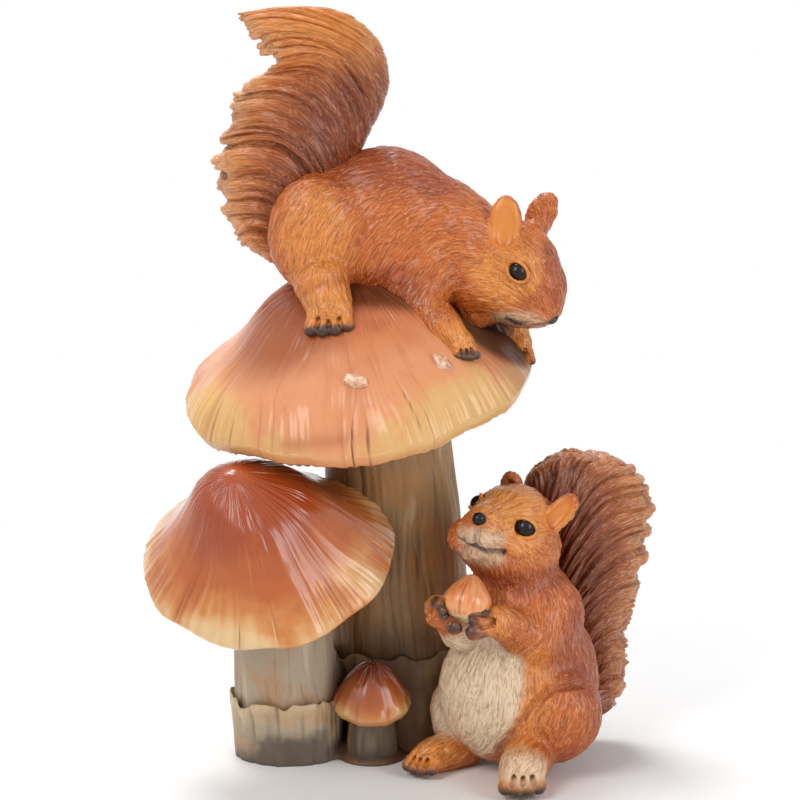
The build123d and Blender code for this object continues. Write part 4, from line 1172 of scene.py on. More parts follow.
class Cap:
    """A cap: its rim's centre, radius, height, pitch to the front, roll to the left, depth of its lip, rise
    of its underside, count of gills, count and depth of its ribs, how far it is drawn in at mid height, how
    far its rim is raised, and how far its top is moved to the left."""

    def __init__(
        self, centre, radius, height, pitch, roll, lip, rise, gills, ribs, pinch=0.0, raised=0.0, shift=0.0
    ):
        p = math.radians(pitch)
        r = math.radians(roll)
        up = np.array((-math.sin(r) * math.cos(p), -math.sin(p), math.cos(p) * math.cos(r)))
        across = unit(np.array((1.0, 0, 0)) - up[0] * up)
        self.axes = np.array((across, np.cross(up, across), up))
        self.centre = np.array(centre)
        self.radius = radius
        self.height = height
        self.lip = lip
        self.rise = rise
        self.gills = gills
        self.ribs = ribs
        self.pinch = pinch
        self.raised = raised
        self.shift = shift

    def level(self, share):
        """The height of the top at a share of the radius: height (1 - share^1.75)^0.85."""
        return self.height * (1 - share**1.75) ** 0.85

    def lifted(self, share):
        """How far the raised rim lifts the top at a share of the radius."""
        return self.raised * ease(share, 0.6, 1.0)

    def profile(self, rows):
        """The cap's half section as shares of the radius, heights, and which rows are underneath.

        The lip is a half turn, and the underside eases up to the stem.
        """
        top = 1 - (1 - np.linspace(0, 1, int(rows * 0.66))) ** 1.7
        turn = np.linspace(0, 1, int(rows * 0.1) + 2)[1:] * math.pi
        lip = 1 - (1 - np.cos(turn)) / 2 * self.lip * 0.45 / self.radius + 0.012 * np.sin(turn)
        lip_z = -self.lip * (1 - np.cos(turn)) / 2
        under = np.linspace(lip[-1], 0.02, int(rows * 0.24) + 1)[1:]
        under_z = -self.lip + self.rise * ease(lip[-1] - under, 0, 0.5)
        share = np.concatenate((top, lip, under))
        height = np.concatenate((self.level(np.clip(top, 0, 1)), lip_z, under_z)) + self.lifted(share)
        height[-len(under) :] += self.raised * (1 - ease(under, 0.6, 1.0))
        below = np.concatenate((np.zeros(len(top) + len(lip)), np.ones(len(under))))
        return share[:, None], height[:, None], below[:, None]

    def skin(self, rows, columns, seed, cracks, furrow, fine, swell):
        """Points and layers: the section turned about the axis, waved at the rim, and furrowed by noise that
        is stretched along the radius and squeezed round it."""
        share, height, below = self.profile(rows)
        turn = full_turn(columns)
        wave = 0.009 * share**3 * (np.sin(9 * turn) + 0.9 * np.sin(4 * turn + 1.0))
        rib = self.ribs[1] * self.radius * share**2 * (1 - np.cos(self.ribs[0] * turn)) / 2
        wander = turn + 0.05 * grain(stacked(np.cos(turn) * 5, np.sin(turn) * 5, share * 4), 1.0, seed)
        broad, middle, narrow = streaks(CAP_STROKES, wander, share * self.radius, self.radius, seed)
        grown = np.clip((share - 0.12) / 0.5, 0, 1)
        mid_grown = np.clip((share - 0.3) / 0.4, 0, 1)
        lift = furrow * broad * grown + furrow * 0.55 * middle * mid_grown + fine * narrow * mid_grown
        lift = lift + 0.45 * (middle + 0.6 * narrow) * ease(share, 0.84, 0.98)
        lift = lift + 0.22 * (middle + narrow) * ease(share, 0.06, 0.2) * (1 - ease(share, 0.42, 0.6))
        depth = np.zeros_like(lift)
        for degrees, inner, outer, width, deep in cracks:
            away = np.angle(np.exp(1j * (wander - math.radians(degrees)))) * share * self.radius
            reach = np.clip((share - inner) / 0.12, 0, 1) * np.clip((outer - share) / 0.08 + 1, 0, 1)
            depth = np.maximum(depth, reach * np.exp(-((away / width) ** 2)) * deep)
        gill = np.abs(np.sin(self.gills * wander / 2)) * np.clip((0.97 - share) / 0.05, 0, 1)
        drawn_in = self.pinch * np.sin(math.pi * np.clip(share, 0, 1) ** 2)
        radial = self.radius * share * (1 + wave) * (1 - drawn_in)
        level = height - self.radius * wave - rib
        local = np.stack((radial * np.cos(turn), radial * np.sin(turn), level), -1)
        local[..., 0] -= self.shift * (1 - np.minimum(share, 1)) ** 1.3 * (1 - below)
        up = np.stack((share * 0.55 * np.cos(turn), share * 0.55 * np.sin(turn), 0 * wander + 1.0), -1)
        up /= np.linalg.norm(up, axis=-1, keepdims=True)
        swollen = grain(local, 19.0, seed + 4) * swell * (1 - below) * np.clip(share * 3, 0, 1)
        top_lift = (lift - depth) * (1 - below) + swollen
        local = local + up * top_lift[..., None]
        local[..., 2] -= gill * below * 1.1
        points = self.centre + local @ self.axes
        groove = broad * 0.8 * grown + middle * mid_grown + narrow * 0.9 * mid_grown
        layers = {
            "share": share,
            "groove": groove * (1 - below),
            "crack": depth * (1 - below),
            "under": below,
            "gill": gill * below,
        }
        return points, layers


# The width and length of the furrows of the caps and of the bark, in millimetres
CAP_STROKES = ((4.2, 26), (1.9, 18), (0.85, 9))
BARK_STROKES = ((5.0, 40), (1.8, 22), (0.8, 9))

BIG_CAP = Cap(
    centre=(-12.5, 5.0, 115.8), radius=57.0, height=47.0, pitch=11.5, roll=7.6, lip=4.5, rise=5.0, gills=110,
    ribs=(20, 0.008), raised=7.5,
)
LEFT_CAP = Cap(
    centre=(-43.0, -24.0, 70.6), radius=40.5, height=38.0, pitch=30.0, roll=5.5, lip=4.0, rise=4.0, gills=84,
    ribs=(16, 0.008), pinch=0.13, shift=7.5,
)
SMALL_CAP = Cap(
    centre=(-9.2, -22.0, 21.1), radius=13.2, height=14.0, pitch=14.0, roll=0.0, lip=2.5, rise=1.5, gills=44,
    ribs=(8, 0.008),
)
# Cracks: the angle, where they start and end in shares of the radius, half their width and their depth
BIG_CRACKS = (
    (270.5, 0.83, 1.0, 0.45, 1.0), (275, 0.83, 0.97, 0.4, 0.8), (292, 0.72, 0.96, 0.35, 0.7),
    (296, 0.8, 1.0, 0.35, 0.6), (222, 0.86, 1.0, 0.4, 0.7), (212, 0.8, 1.0, 0.4, 0.6),
    (20, 0.7, 1.0, 0.5, 0.9), (75, 0.75, 1.0, 0.5, 0.9), (118, 0.7, 1.0, 0.5, 0.8),
    (160, 0.75, 1.0, 0.5, 0.9),
)
LEFT_CRACKS = ((258, 0.85, 1.0, 0.4, 0.7), (285, 0.3, 0.6, 0.4, 0.4), (222, 0.85, 1.0, 0.4, 0.6))


def wart_skin(place, up, size, seed):
    """A wart: a ball of radius size (1 + 0.28 noise), flattened across and in height."""
    ball = ball_grid(24, 36, 0.05)[0]
    ball = ball * (1 + 0.28 * grain(ball * 1.7, 1.0, seed))[..., None] * (1, 0.62, 0.6)
    return wrap_grid(place + size * ball @ axes_about(up, (0.3, 0.9, 0.2)))


# Stems


class Stem:
    """A leaning stem, which may have a torn sheath round its foot and spread to the left beneath its cap.

    Its shares are heights and radii, as shares of its own; the sheath has a height, a radius and a flare.
    """

    def __init__(self, foot, lean, height, radius, shares, sheath=None, buttress=0.0):
        self.foot = np.array(foot)
        self.lean = np.array(lean)
        self.height = height
        self.radius = radius
        self.shares = np.array(shares)
        self.sheath = sheath
        self.buttress = buttress

    def bark(self, rows, columns, seed, depth):
        """The stem: rings that follow its radii, furrowed by noise that is stretched along its height. Where
        it spreads to the left beneath the cap, the furrow layer is lowered so that the paint there is dark:
        painted shade under the cap."""
        share = np.linspace(0, 1, rows)[:, None]
        turn = full_turn(columns)
        radius = self.radius * np.interp(share, self.shares[:, 0], self.shares[:, 1])
        z = share * self.height
        wander = turn + 0.12 * grain(stacked(np.cos(turn) * 2, np.sin(turn) * 2, z / 18), 1.0, seed)
        broad, middle, narrow = streaks(BARK_STROKES, wander, z, self.radius, seed)
        radius = radius + depth * (broad + 0.6 * middle) + 0.26 * depth * narrow
        buttress = self.buttress * ease(share, 0.7, 0.9) * np.clip(-np.cos(turn), 0, 1)
        radius = radius * (1 + buttress)
        x = self.foot[0] + self.lean[0] * share + radius * np.cos(turn)
        y = self.foot[1] + self.lean[1] * share + radius * np.sin(turn)
        points = np.stack((x, y, z + 0 * turn), -1)
        # Lowering the groove where the stem spreads paints shade under the cap
        layers = {"groove": broad + middle + narrow - 8 * buttress, "share": share, "torn": 0 * share}
        return wrap_grid(points, layers)

    def torn_sheath(self, seed, tooth):
        """A thin wall round the foot, up the inside and down the outside, whose edge curls outwards and
        rises and falls with noise, by about a tooth."""
        height, radius, flare = self.sheath
        wall = 1.6
        turn = full_turn(300)
        circle = stacked(np.cos(turn), np.sin(turn), 0)
        edge = height + tooth * (grain(circle * 1.5, 1.0, seed) + 0.45 * grain(circle * 6, 1.0, seed + 1))
        side = np.linspace(-1, 1, 52)[:, None]
        level = 1 - np.abs(side) ** 1.25
        z = level * edge
        curl = ease(level, 0.7, 1.0) * (1.6 + 1.2 * grain(circle * 3, 1.0, seed + 2))
        out = radius * (1 + (flare - 1) * (1 - level)) + curl + np.where(side > 0, wall, 0) * (1 - level**8)

        def wavy(width, length, salt):
            round_place = (np.cos(turn) * radius / width, np.sin(turn) * radius / width, z / length)
            return grain(stacked(*round_place), 1.0, seed + salt)

        streak = wavy(1.1, 14, 3)
        broad = wavy(2.6, 24, 4)
        out = out + np.where(side > 0, 1, 0) * (0.3 * streak + 0.7 * broad)
        x = self.foot[0] + self.lean[0] * z / self.height + out * np.cos(turn)
        y = self.foot[1] + self.lean[1] * z / self.height + out * np.sin(turn)
        points = np.stack((x, y, z), -1)
        layers = {"groove": streak + broad, "share": z / self.height, "torn": ease(level, 0.55, 1.0)}
        return wrap_grid(points, layers)


BIG_STEM = Stem(
    foot=(3.0, 14.0), lean=(-9.0, -3.0), height=130.0, radius=23.0,
    shares=((0.0, 1.12), (0.1, 1.1), (0.3, 1.04), (0.6, 0.98), (0.85, 0.89), (1.0, 0.86)),
    sheath=(33.0, 25.0, 1.1), buttress=0.35,
)
LEFT_STEM = Stem(
    foot=(-37.0, -10.5), lean=(-3.0, -8.0), height=78.0, radius=17.0,
    shares=((0.0, 0.9), (0.08, 1.0), (0.3, 1.0), (0.6, 0.96), (1.0, 0.92)), sheath=(22.0, 17.4, 0.93),
)
SMALL_STEM = Stem(
    foot=(-9.2, -17.5), lean=(0.0, -4.0), height=27.0, radius=7.6,
    shares=((0.0, 1.12), (0.25, 1.1), (0.5, 1.0), (1.0, 0.95)),
)


def moss_web(seed):
    """The low web that joins the feet: rings that grow from the middle to the stems' common outline beneath,
    and shrink back over a rounded edge and a lumpy top."""
    rows, columns = 40, 220
    middle = np.array((-12.0, -2.0))
    turn = full_turn(columns)[0]
    way = np.stack((np.cos(turn), np.sin(turn)), -1)
    reach = np.zeros(columns)
    for stem, spread in ((BIG_STEM, 1.24), (LEFT_STEM, 1.04), (SMALL_STEM, 1.5)):
        offset = stem.foot - middle
        along = way @ offset
        under = (stem.radius * spread) ** 2 - (offset @ offset - along**2)
        reach = np.maximum(reach, np.where(under > 0, along + np.sqrt(np.maximum(under, 0)), 0))
    filled = np.maximum(reach, 16.0)
    kernel = np.hanning(15)
    filled = np.convolve(np.concatenate((filled[-7:], filled, filled[:7])), kernel / kernel.sum(), "valid")
    side = np.linspace(0, 1, rows)[:, None]
    spread_out = np.where(side < 0.5, side * 2, 2 - side * 2)
    height = np.where(side < 0.5, 0, 5.2 * (1 - spread_out**4) + 0.3)
    flat = middle + way[None] * (filled[None, :] * spread_out * 0.985)[..., None]
    points = np.concatenate((flat, height[..., None] + 0 * flat[..., :1]), -1)
    lumps = grain(points * (1, 1, 0.2), 2.6, seed) + 0.6 * grain(points, 1.1, seed + 1)
    points[..., 2] += np.where(side > 0.5, 0.8, 0) * lumps * (1 - spread_out**6)
    points[..., 2] = np.maximum(points[..., 2], 0)
    # The web's share is set near the foot, so the stems' paint darkens all of it: painted shade between the
    # feet
    return wrap_grid(points, {"groove": lumps, "share": np.full((1, 1), 0.02), "torn": np.zeros((1, 1))})


# Beads and the nut


def bead_skin(centre, radius):
    """A ball: radius times the unit vector at each dip and turn."""
    ball, dip = ball_grid(40, 64, 0.03)
    return wrap_grid(np.array(centre) + radius * ball, {"share": dip / math.pi})


def nut_skin(centre, axis, radius, height, seed):
    """A hazelnut: radius sin(dip)^0.85, drawn to a point at one end, and flat with a scar at the other."""
    dip = np.linspace(0.02, math.pi - 0.02, 110)[:, None]
    turn = full_turn(150)
    up = np.cos(dip)
    top = np.clip(up, 0, 1)
    rim = radius * np.sin(dip) ** 0.85 * (1 - 0.26 * top**2)
    z = height * (up + 0.22 * top**6) * np.where(up < 0, 0.82, 1.0)
    ribs = grain(stacked(np.cos(turn) * 9, np.sin(turn) * 9, up * 1.1), 1.0, seed)
    rim = rim + 0.16 * ribs * np.sin(dip)
    local = stacked(rim * np.cos(turn), rim * np.sin(turn), z)
    points = np.array(centre) + local @ axes_about(unit(axis), (0, 1, 0.3))
    return wrap_grid(points, {"share": dip / math.pi, "groove": ribs})


# Paints of the mushrooms, nut and fittings


def paint_cap(name, crown, flesh, middle, rim, gloss, spread, edge, varnish):
    """A painted cap: crown to rim by share of the radius, broken up by patches, with a dark wash in the
    furrows and in the cracks, gills beneath, painted shadow of the upper squirrel in the dark patches, and a
    varnish on all but the painted shadow."""
    p = Paint(name)
    patches = p.noise(p.place, 26, 4, 0.6)
    blots = p.noise(p.place, 90, 4, 0.65)
    specks = p.noise(p.place, 600, 3, 0.7)
    groove = p.attribute("groove")
    dark = p.attribute("dark")
    shifted = p.plus(p.attribute("share"), p.span(patches, 0.25, 0.75, -0.13, 0.13))
    streaked = p.plus(shifted, p.times(groove, 0.012))
    colour = p.mixed(p.span(streaked, spread[0], spread[1]), crown, middle)
    colour = p.mixed(p.span(streaked, spread[2], spread[3]), colour, flesh)
    colour = p.mixed(p.span(blots, 0.55, 0.75, 0.0, 0.5), colour, middle)
    colour = p.mixed(p.span(streaked, edge - 0.08, edge + 0.08, 0.0, 0.95), colour, rim)
    # Red patches: the cap's own red brown, and painted shade round the upper squirrel's far paw
    colour = p.mixed(p.times(p.attribute("red"), 0.85), colour, crown)
    colour = p.washed(p.span(groove, -0.3, -1.8, 0.0, 0.4), colour, (0.55, 0.34, 0.24))
    colour = p.brushed(p.span(groove, 0.6, 1.8, 0.0, 0.15), colour, (1.0, 0.78, 0.5))
    colour = p.mixed(p.span(p.attribute("crack"), 0.15, 0.8, 0.0, 0.8), colour, (0.16, 0.05, 0.02))
    # Painted shadow of the upper squirrel, nearly black
    colour = p.mixed(p.times(dark, 0.93), colour, (0.035, 0.014, 0.008))
    gills = p.mixed(p.attribute("gill"), (0.12, 0.06, 0.03), (0.42, 0.26, 0.13))
    colour = p.mixed(p.span(p.attribute("under"), 0.3, 0.7), colour, gills)
    colour = p.mixed(p.span(specks, 0.66, 0.82, 0.0, 0.3), colour, (0.2, 0.07, 0.025))
    p.bump(specks, 0.25, 0.00018)
    return p.give(
        Base_Color=colour, Roughness=p.span(blots, 0.3, 0.7, gloss, gloss + 0.14), Specular_IOR_Level=0.12,
        # No varnish where the painted shadow lies
        Coat_Weight=p.span(dark, 0.1, 0.7, varnish, 0.0),
        Coat_Roughness=p.span(groove, -0.8, 1.2, 0.26, 0.08),
    )


def paint_bark(name, base, wash, foot_colour, warm, torn=0.7, foot_reach=0.2):
    """A painted stem: grey or brown with an orange wash in patches, dark in the furrows, darker towards the
    foot, and pale on the torn edges. On the big stem and the web the dark foot is painted shade."""
    p = Paint(name)
    patches = p.noise(p.place, 38, 4, 0.6)
    specks = p.noise(p.place, 520, 4, 0.7)
    groove = p.attribute("groove")
    colour = p.mixed(p.span(patches, 0.47, 0.66, 0.0, warm), base, colours().bark_warm)
    colour = p.mixed(p.times(p.attribute("torn"), torn), colour, (0.62, 0.46, 0.27))
    colour = p.mixed(p.span(groove, 0.0, -1.8, 0.0, 0.75), colour, wash)
    colour = p.brushed(p.span(groove, 0.5, 1.7, 0.0, 0.5), colour, (0.85, 0.7, 0.5))
    foot = p.plus(p.attribute("share"), p.span(patches, 0.3, 0.7, -0.1, 0.1))
    colour = p.mixed(p.span(foot, foot_reach, 0.02, 0.0, 0.85), colour, foot_colour)
    colour = p.mixed(p.span(specks, 0.6, 0.8, 0.0, 0.45), colour, wash)
    p.bump(specks, 0.5, 0.00035)
    return p.give(
        Base_Color=colour, Roughness=p.span(specks, 0.3, 0.7, 0.5, 0.72), Coat_Weight=0.08, Coat_Roughness=0.3
    )


def paint_wart(name):
    """Pale flakes on orange, a little glossy."""
    p = Paint(name)
    specks = p.noise(p.place, 320, 4, 0.65)
    p.bump(specks, 0.5, 0.0003)
    return p.give(
        Base_Color=p.mixed(p.span(specks, 0.35, 0.65), (0.52, 0.22, 0.1), (0.8, 0.54, 0.38)),
        Roughness=p.span(specks, 0.3, 0.7, 0.2, 0.4), Coat_Weight=0.5,
    )


def paint_nut(name):
    """A golden nut with darker ribs and a pale scar."""
    p = Paint(name)
    blots = p.noise(p.place, 160, 4, 0.6)
    colour = p.mixed(p.span(blots, 0.35, 0.7), (0.8, 0.33, 0.12), (0.68, 0.2, 0.055))
    colour = p.mixed(p.span(p.attribute("groove"), 0.1, -0.8, 0.0, 0.7), colour, (0.3, 0.08, 0.02))
    colour = p.mixed(p.span(p.attribute("share"), 0.7, 0.8), colour, (0.82, 0.6, 0.34))
    return p.give(
        Base_Color=colour, Roughness=p.span(blots, 0.3, 0.7, 0.24, 0.38), Coat_Weight=0.5, Coat_Roughness=0.1
    )


def plain_wood(name):
    """Pale dowel wood, finely mottled."""
    p = Paint(name)
    mottle = p.noise(p.place, 500, 3, 0.6)
    p.bump(mottle, 0.3, 0.0001)
    return p.give(
        Base_Color=p.mixed(mottle, (0.62, 0.42, 0.24), (0.42, 0.25, 0.12)),
        Roughness=p.span(mottle, 0.3, 0.7, 0.5, 0.7),
    )


def dull_steel(name):
    """Pin steel, dull in fine specks."""
    p = Paint(name)
    specks = p.noise(p.place, 900, 2, 0.5)
    return p.give(
        Base_Color=p.mixed(specks, (0.55, 0.55, 0.56), (0.42, 0.42, 0.44)),
        Roughness=p.span(specks, 0.3, 0.7, 0.25, 0.4), Metallic=1.0,
    )


# Stage

# Each lamp's name, place, width, height, power and colour, in metres and watts, and what all of them face
LAMPS = (
    ("key", (-0.75, -0.85, 1.0), 0.7, 0.9, 10.5, (1.0, 0.985, 0.965)),
    ("fill", (1.0, -0.75, 0.55), 0.6, 0.9, 7.5, (0.97, 0.985, 1.0)),
    ("top", (-0.25, 0.42, 1.15), 0.6, 0.5, 11.0, (1.0, 1.0, 1.0)),
)
LAMP_TARGET = (0, 0, 0.12)
# The width of the camera's sensor in millimetres, and half the floor's width in metres
SENSOR_WIDTH = 36.0
FLOOR_REACH = 3.0


def place_aimed(name, data, place, target):
    """Puts a lamp or camera at a place and turns it to a target, with its top up."""
    thing = bpy.data.objects.new(name, data)
    bpy.context.scene.collection.objects.link(thing)
    thing.location = place
    thing.rotation_euler = (Vector(target) - Vector(place)).to_track_quat("-Z", "Y").to_euler()
    return thing


class FIGURINE_OT_stage(bpy.types.Operator):
    """Build the floor, the white surroundings, the soft lights and the camera"""

    bl_idname = "figurine.stage"
    bl_label = "Stage"

    def execute(self, context):
        s = sizes()
        scene = context.scene
        scene.view_settings.view_transform = "Standard"
        camera = bpy.data.cameras.new("camera")
        camera.sensor_width = SENSOR_WIDTH
        camera.lens = SENSOR_WIDTH * s.camera_distance / s.picture_height
        camera.clip_end = 20.0
        back = s.camera_distance * math.cos(s.camera_tilt)
        height = s.aim_height + s.camera_distance * math.sin(s.camera_tilt)
        scene.camera = place_aimed("camera", camera, (0, -back, height), (0, 0, s.aim_height))
        self.floor(scene)
        self.world(scene)
        for name, place, width, depth, power, colour in LAMPS:
            lamp = bpy.data.lights.new(name, "AREA")
            lamp.shape = "RECTANGLE"
            lamp.size = width
            lamp.size_y = depth
            lamp.energy = power
            lamp.color = colour
            place_aimed(name, lamp, place, LAMP_TARGET)
        return {"FINISHED"}

    def floor(self, scene):
        """A pale floor that takes the figurine's shadow and fades to white further off."""
        mesh = bpy.data.meshes.new("floor")
        corners = [(FLOOR_REACH * x, FLOOR_REACH * y, 0) for x, y in ((-1, -1), (1, -1), (1, 1), (-1, 1))]
        mesh.from_pydata(corners, [], [(0, 1, 2, 3)])
        plane = bpy.data.objects.new("floor", mesh)
        scene.collection.objects.link(plane)
        p = Paint("pale_floor")
        mottle = p.noise(p.place, 40, 2)
        p.give(Base_Color=p.mixed(mottle, (0.9, 0.9, 0.9), (0.88, 0.88, 0.88)), Roughness=0.6)
        far = p.span(p.vectors("LENGTH", p.place, output="Value"), 0.09, 0.34)
        mix = p.node("MixShader")
        p.put(mix.inputs["Fac"], p.times(p.seen_directly(), far))
        p.put(mix.inputs[1], p.shader.outputs[0])
        p.put(mix.inputs[2], p.node("Emission").outputs[0])
        p.put(p.output.inputs["Surface"], mix.outputs[0])
        mesh.materials.append(p.material)

    def world(self, scene):
        """White where the camera sees it, softer where it lights the figurine."""
        scene.world = bpy.data.worlds.new("studio")
        scene.world.use_nodes = True
        nodes = Nodes(scene.world.node_tree)
        around = nodes.node("Background")
        nodes.put(around.inputs["Color"], (1, 1, 1, 1))
        nodes.put(around.inputs["Strength"], nodes.span(nodes.seen_directly(), 0.0, 1.0, 0.3, 1.0))
        nodes.put(nodes.node("OutputWorld").inputs["Surface"], around.outputs[0])


# Pieces

# Each cap: its node, its shape, what its skin is made with (rings, points round a ring, seed, cracks, and
# the depth of furrows, fine lines and swellings), and its paint (crown, flesh, middle and rim, roughness,
# where the crown turns to the middle and to the flesh, where the rim starts, and its varnish)
CAPS = (
    (
        "big_cap", BIG_CAP, (150, 620, 11, BIG_CRACKS, 0.16, 0.09, 2.4),
        ((0.28, 0.055, 0.01), (0.68, 0.28, 0.125), (0.56, 0.165, 0.055), (0.68, 0.4, 0.15), 0.3),
        ((0.25, 0.55, 0.45, 0.75), 0.95, 0.6),
    ),
    (
        "left_cap", LEFT_CAP, (140, 520, 23, LEFT_CRACKS, 0.12, 0.05, 2.0),
        ((0.33, 0.052, 0.008), (0.62, 0.26, 0.07), (0.44, 0.1, 0.014), (0.7, 0.5, 0.26), 0.14),
        ((0.5, 0.82, 0.84, 1.04), 1.03, 0.9),
    ),
    (
        "small_cap", SMALL_CAP, (90, 300, 37, (), 0.1, 0.03, 0.8),
        ((0.2, 0.034, 0.006), (0.56, 0.2, 0.045), (0.38, 0.08, 0.014), (0.62, 0.38, 0.16), 0.2),
        ((0.2, 0.7, 0.7, 1.0), 0.97, 0.9),
    ),
)
# Patches painted on the large cap: layer, middle, radii, tilt, softness and strength. The two dark patches
# and the last red one are painted shadow of the upper squirrel under its chin, its body and its far paw; the
# other two red ones are the cap's own colour.
CAP_PATCHES_AND_SHADOWS = (
    # Painted shadow of the upper squirrel on the cap: under its chin, and under its body
    ("dark", UPPER_SEAT + (48, 2, -22), (15, 18, 13), 35, 6, 0.95),
    ("dark", UPPER_SEAT + (12, 2, -4), (34, 22, 12), 8, 6, 0.7),
    ("red", UPPER_SEAT + (-28, -16, -12), (27, 25, 20), 0, 16, 0.9),
    ("red", BIG_CAP.centre + (-14.0, -54.0, -1.5), (12, 8, 2.2), -6, 5, 0.4),
    # Painted shade round the upper squirrel's far paw
    ("red", UPPER_SEAT + (55, -4, -30), (14, 18, 9), 35, 10, 0.55),
)
# The warts of the large cap: turn and radius as shares, and seed; and their size in millimetres
WARTS = ((0.756, 0.72, 3), (0.869, 0.75, 8))
WART_SIZE = 4.2


class FIGURINE_OT_caps(bpy.types.Operator):
    """Model and paint the three mushroom caps, with their furrows, cracks, gills and warts"""

    bl_idname = "figurine.caps"
    bl_label = "Mushroom caps"

    def execute(self, context):
        for node, cap, making, shades, finish in CAPS:
            points, layers = cap.skin(*making)
            # The dark layer holds the painted shadows of the upper squirrel; the red layer holds red brown
            # patches and painted shade by the far paw
            layers["dark"] = np.zeros(points.shape[:2])
            layers["red"] = np.zeros(points.shape[:2])
            for layer, middle, radii, tilt, soft, strength in CAP_PATCHES_AND_SHADOWS if cap is BIG_CAP else ():
                cover = fade(Egg(middle, radii, tilt).distance(points), soft)
                layers[layer] = np.maximum(layers[layer], strength * cover)
            paint = paint_cap(node + "_paint", *shades, *finish)
            add_piece(node + "_skin", wrap_grid(points, layers), paint, "cap_skin", node)
            if cap is BIG_CAP:
                warts = join_skins([self.wart(cap, *wart) for wart in WARTS])
                add_piece("big_cap_warts", warts, paint_wart("wart_paint"), "cap_skin")
        return {"FINISHED"}

    def wart(self, cap, turn_share, radius_share, seed):
        """A wart on a cap, leaning outwards."""
        turn = 2 * math.pi * turn_share
        height = cap.level(radius_share) + cap.lifted(radius_share)
        r = cap.radius * radius_share
        place = cap.centre + np.array((r * math.cos(turn), r * math.sin(turn), height)) @ cap.axes
        up = unit(np.array((math.cos(turn), math.sin(turn), 0.9)) @ cap.axes)
        return wart_skin(place, up, WART_SIZE, seed)


class FIGURINE_OT_stems(bpy.types.Operator):
    """Model and paint the three stems, their torn sheaths and the web at their feet"""

    bl_idname = "figurine.stems"
    bl_label = "Stems and web"

    def execute(self, context):
        c = colours()
        # The big stem darkens over its lower half as painted shade, and where it spreads beneath the cap
        brown = paint_bark(
            "big_stem_paint", (0.36, 0.21, 0.085), (0.09, 0.038, 0.016), (0.07, 0.03, 0.014), 0.5,
            torn=0.25, foot_reach=0.5,
        )
        grey = paint_bark("left_stem_paint", c.bark, (0.13, 0.085, 0.055), c.bark_dark, 0.55)
        dark = paint_bark("small_stem_paint", (0.16, 0.11, 0.07), (0.03, 0.02, 0.014), c.bark_dark, 0.3)
        bark = BIG_STEM.bark(rows=200, columns=330, seed=5, depth=0.6)
        skin = join_skins([bark, BIG_STEM.torn_sheath(seed=15, tooth=6.0)])
        add_piece("big_stem_bark", skin, brown, "stem_bark", "big_stem")
        # The web takes the big stem's dark foot paint: painted shade
        add_piece("foot_web", moss_web(seed=71), brown, "stem_bark")
        bark = LEFT_STEM.bark(rows=160, columns=300, seed=6, depth=0.4)
        skin = join_skins([bark, LEFT_STEM.torn_sheath(seed=17, tooth=3.2)])
        add_piece("left_stem_bark", skin, grey, "stem_bark", "left_stem")
        bark = SMALL_STEM.bark(rows=80, columns=200, seed=7, depth=0.35)
        add_piece("small_stem_bark", bark, dark, "stem_bark", "small_stem")
        return {"FINISHED"}


def add_animal(name, sculpture, seed, fan, tail_paint, root, beads):
    """Adds the fur, the tail and the eyes of the upper or the lower squirrel, and returns the eyes' glass."""
    c = colours()
    fur = paint_fur(name + "_fur", c.fur, c.fur_red)
    add_piece(name + "_squirrel_fur", sculpture.skin(seed), fur, "fur", name + "_squirrel")
    tail = join_skins([wrap_grid(*fan), root])
    brush = paint_fur(name + "_tail_paint", *tail_paint)
    add_piece(name + "_tail_fur", tail, brush, "tail_fur", name + "_tail")
    glass = glossy_bead(name + "_eye_glass")
    eyes = join_skins([bead_skin(sculpture.at(place), radius) for place, radius in beads])
    add_piece(name + "_eye_beads", eyes, glass, "bead", name + "_eyes")
    return glass


class FIGURINE_OT_upper_squirrel(bpy.types.Operator):
    """Sculpt, comb and paint the squirrel on the large cap, with its tail and eyes"""

    bl_idname = "figurine.upper_squirrel"
    bl_label = "Upper squirrel"

    def execute(self, context):
        root = tail_root(UPPER_TAIL_ROOT, *UPPER_MUSCLE)
        fan = UPPER_FAN.skin(rows=440, columns=200, seed=42)
        brush = (colours().fur, (0.24, 0.05, 0.012))
        add_animal("upper", sculpt_upper(), 101, fan, brush, root, zip(UPPER_EYES, UPPER_EYE_RADII))
        return {"FINISHED"}


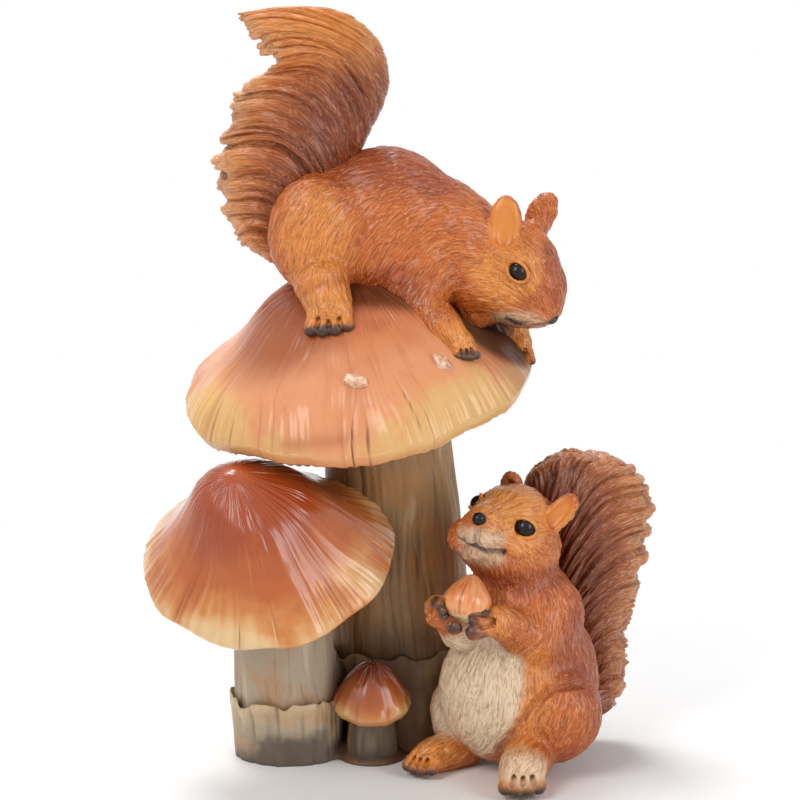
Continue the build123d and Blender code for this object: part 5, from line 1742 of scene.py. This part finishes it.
class FIGURINE_OT_lower_squirrel(bpy.types.Operator):
    """Sculpt, comb and paint the sitting squirrel, with its tail, eyes, nose and nut"""

    bl_idname = "figurine.lower_squirrel"
    bl_label = "Lower squirrel"

    def execute(self, context):
        root = tail_root(LOWER_TAIL_ROOT, *LOWER_MUSCLE)
        fan = LOWER_FAN.skin(rows=480, columns=190, seed=43)
        brush = ((0.42, 0.12, 0.035), (0.2, 0.045, 0.014))
        squirrel = sculpt_lower()
        glass = add_animal("lower", squirrel, 201, fan, brush, root, zip(LOWER_EYES, LOWER_EYE_RADII))
        nose = bead_skin(squirrel.at(LOWER_NOSE), NOSE_RADIUS)
        add_piece("lower_nose_bead", nose, glass, "bead", "lower_nose")
        nut = nut_skin(squirrel.at(LOWER_NUT), (0.2, 0.3, 0.93), NUT_RADIUS, NUT_HEIGHT, seed=61)
        add_piece("hazelnut_shell", nut, paint_nut("nut_paint"), "nut_shell", "hazelnut")
        return {"FINISHED"}


class FIGURINE_OT_fittings(bpy.types.Operator):
    """Give the hidden dowels and pins their wood and steel"""

    bl_idname = "figurine.fittings"
    bl_label = "Dowels and pins"

    def execute(self, context):
        wood = plain_wood("dowel_wood")
        steel = dull_steel("pin_steel")
        for node, material in (("cap_dowels", wood), ("tail_pins", steel), ("seat_pins", steel)):
            part = bpy.data.objects[node]
            part.data.materials.clear()
            part.data.materials.append(material)
        return {"FINISHED"}


class FIGURINE_PT_panel(bpy.types.Panel):
    """Sizes, colours and the steps in order"""

    bl_label = "Squirrel figurine"
    bl_idname = "FIGURINE_PT_panel"
    bl_space_type = "VIEW_3D"
    bl_region_type = "UI"
    bl_category = "Figurine"

    def draw(self, context):
        layout = self.layout
        for group in (context.scene.figurine_sizes, context.scene.figurine_colours):
            box = layout.box()
            for name in group.bl_rna.properties.keys():
                if name not in ("rna_type", "name"):
                    box.prop(group, name)
        for step in STEPS:
            layout.operator(step.bl_idname)


STEPS = (
    FIGURINE_OT_stage, FIGURINE_OT_caps, FIGURINE_OT_stems, FIGURINE_OT_upper_squirrel,
    FIGURINE_OT_lower_squirrel, FIGURINE_OT_fittings,
)
CLASSES = (FigurineSizes, FigurineColours, *STEPS, FIGURINE_PT_panel)


def register():
    for item in CLASSES:
        bpy.utils.register_class(item)
    bpy.types.Scene.figurine_sizes = bpy.props.PointerProperty(type=FigurineSizes)
    bpy.types.Scene.figurine_colours = bpy.props.PointerProperty(type=FigurineColours)


def unregister():
    del bpy.types.Scene.figurine_colours
    del bpy.types.Scene.figurine_sizes
    for item in reversed(CLASSES):
        bpy.utils.unregister_class(item)


def main():
    register()
    bpy.ops.figurine.stage()
    bpy.ops.figurine.caps()
    bpy.ops.figurine.stems()
    bpy.ops.figurine.upper_squirrel()
    bpy.ops.figurine.lower_squirrel()
    bpy.ops.figurine.fittings()


if __name__ == "__main__":
    main()
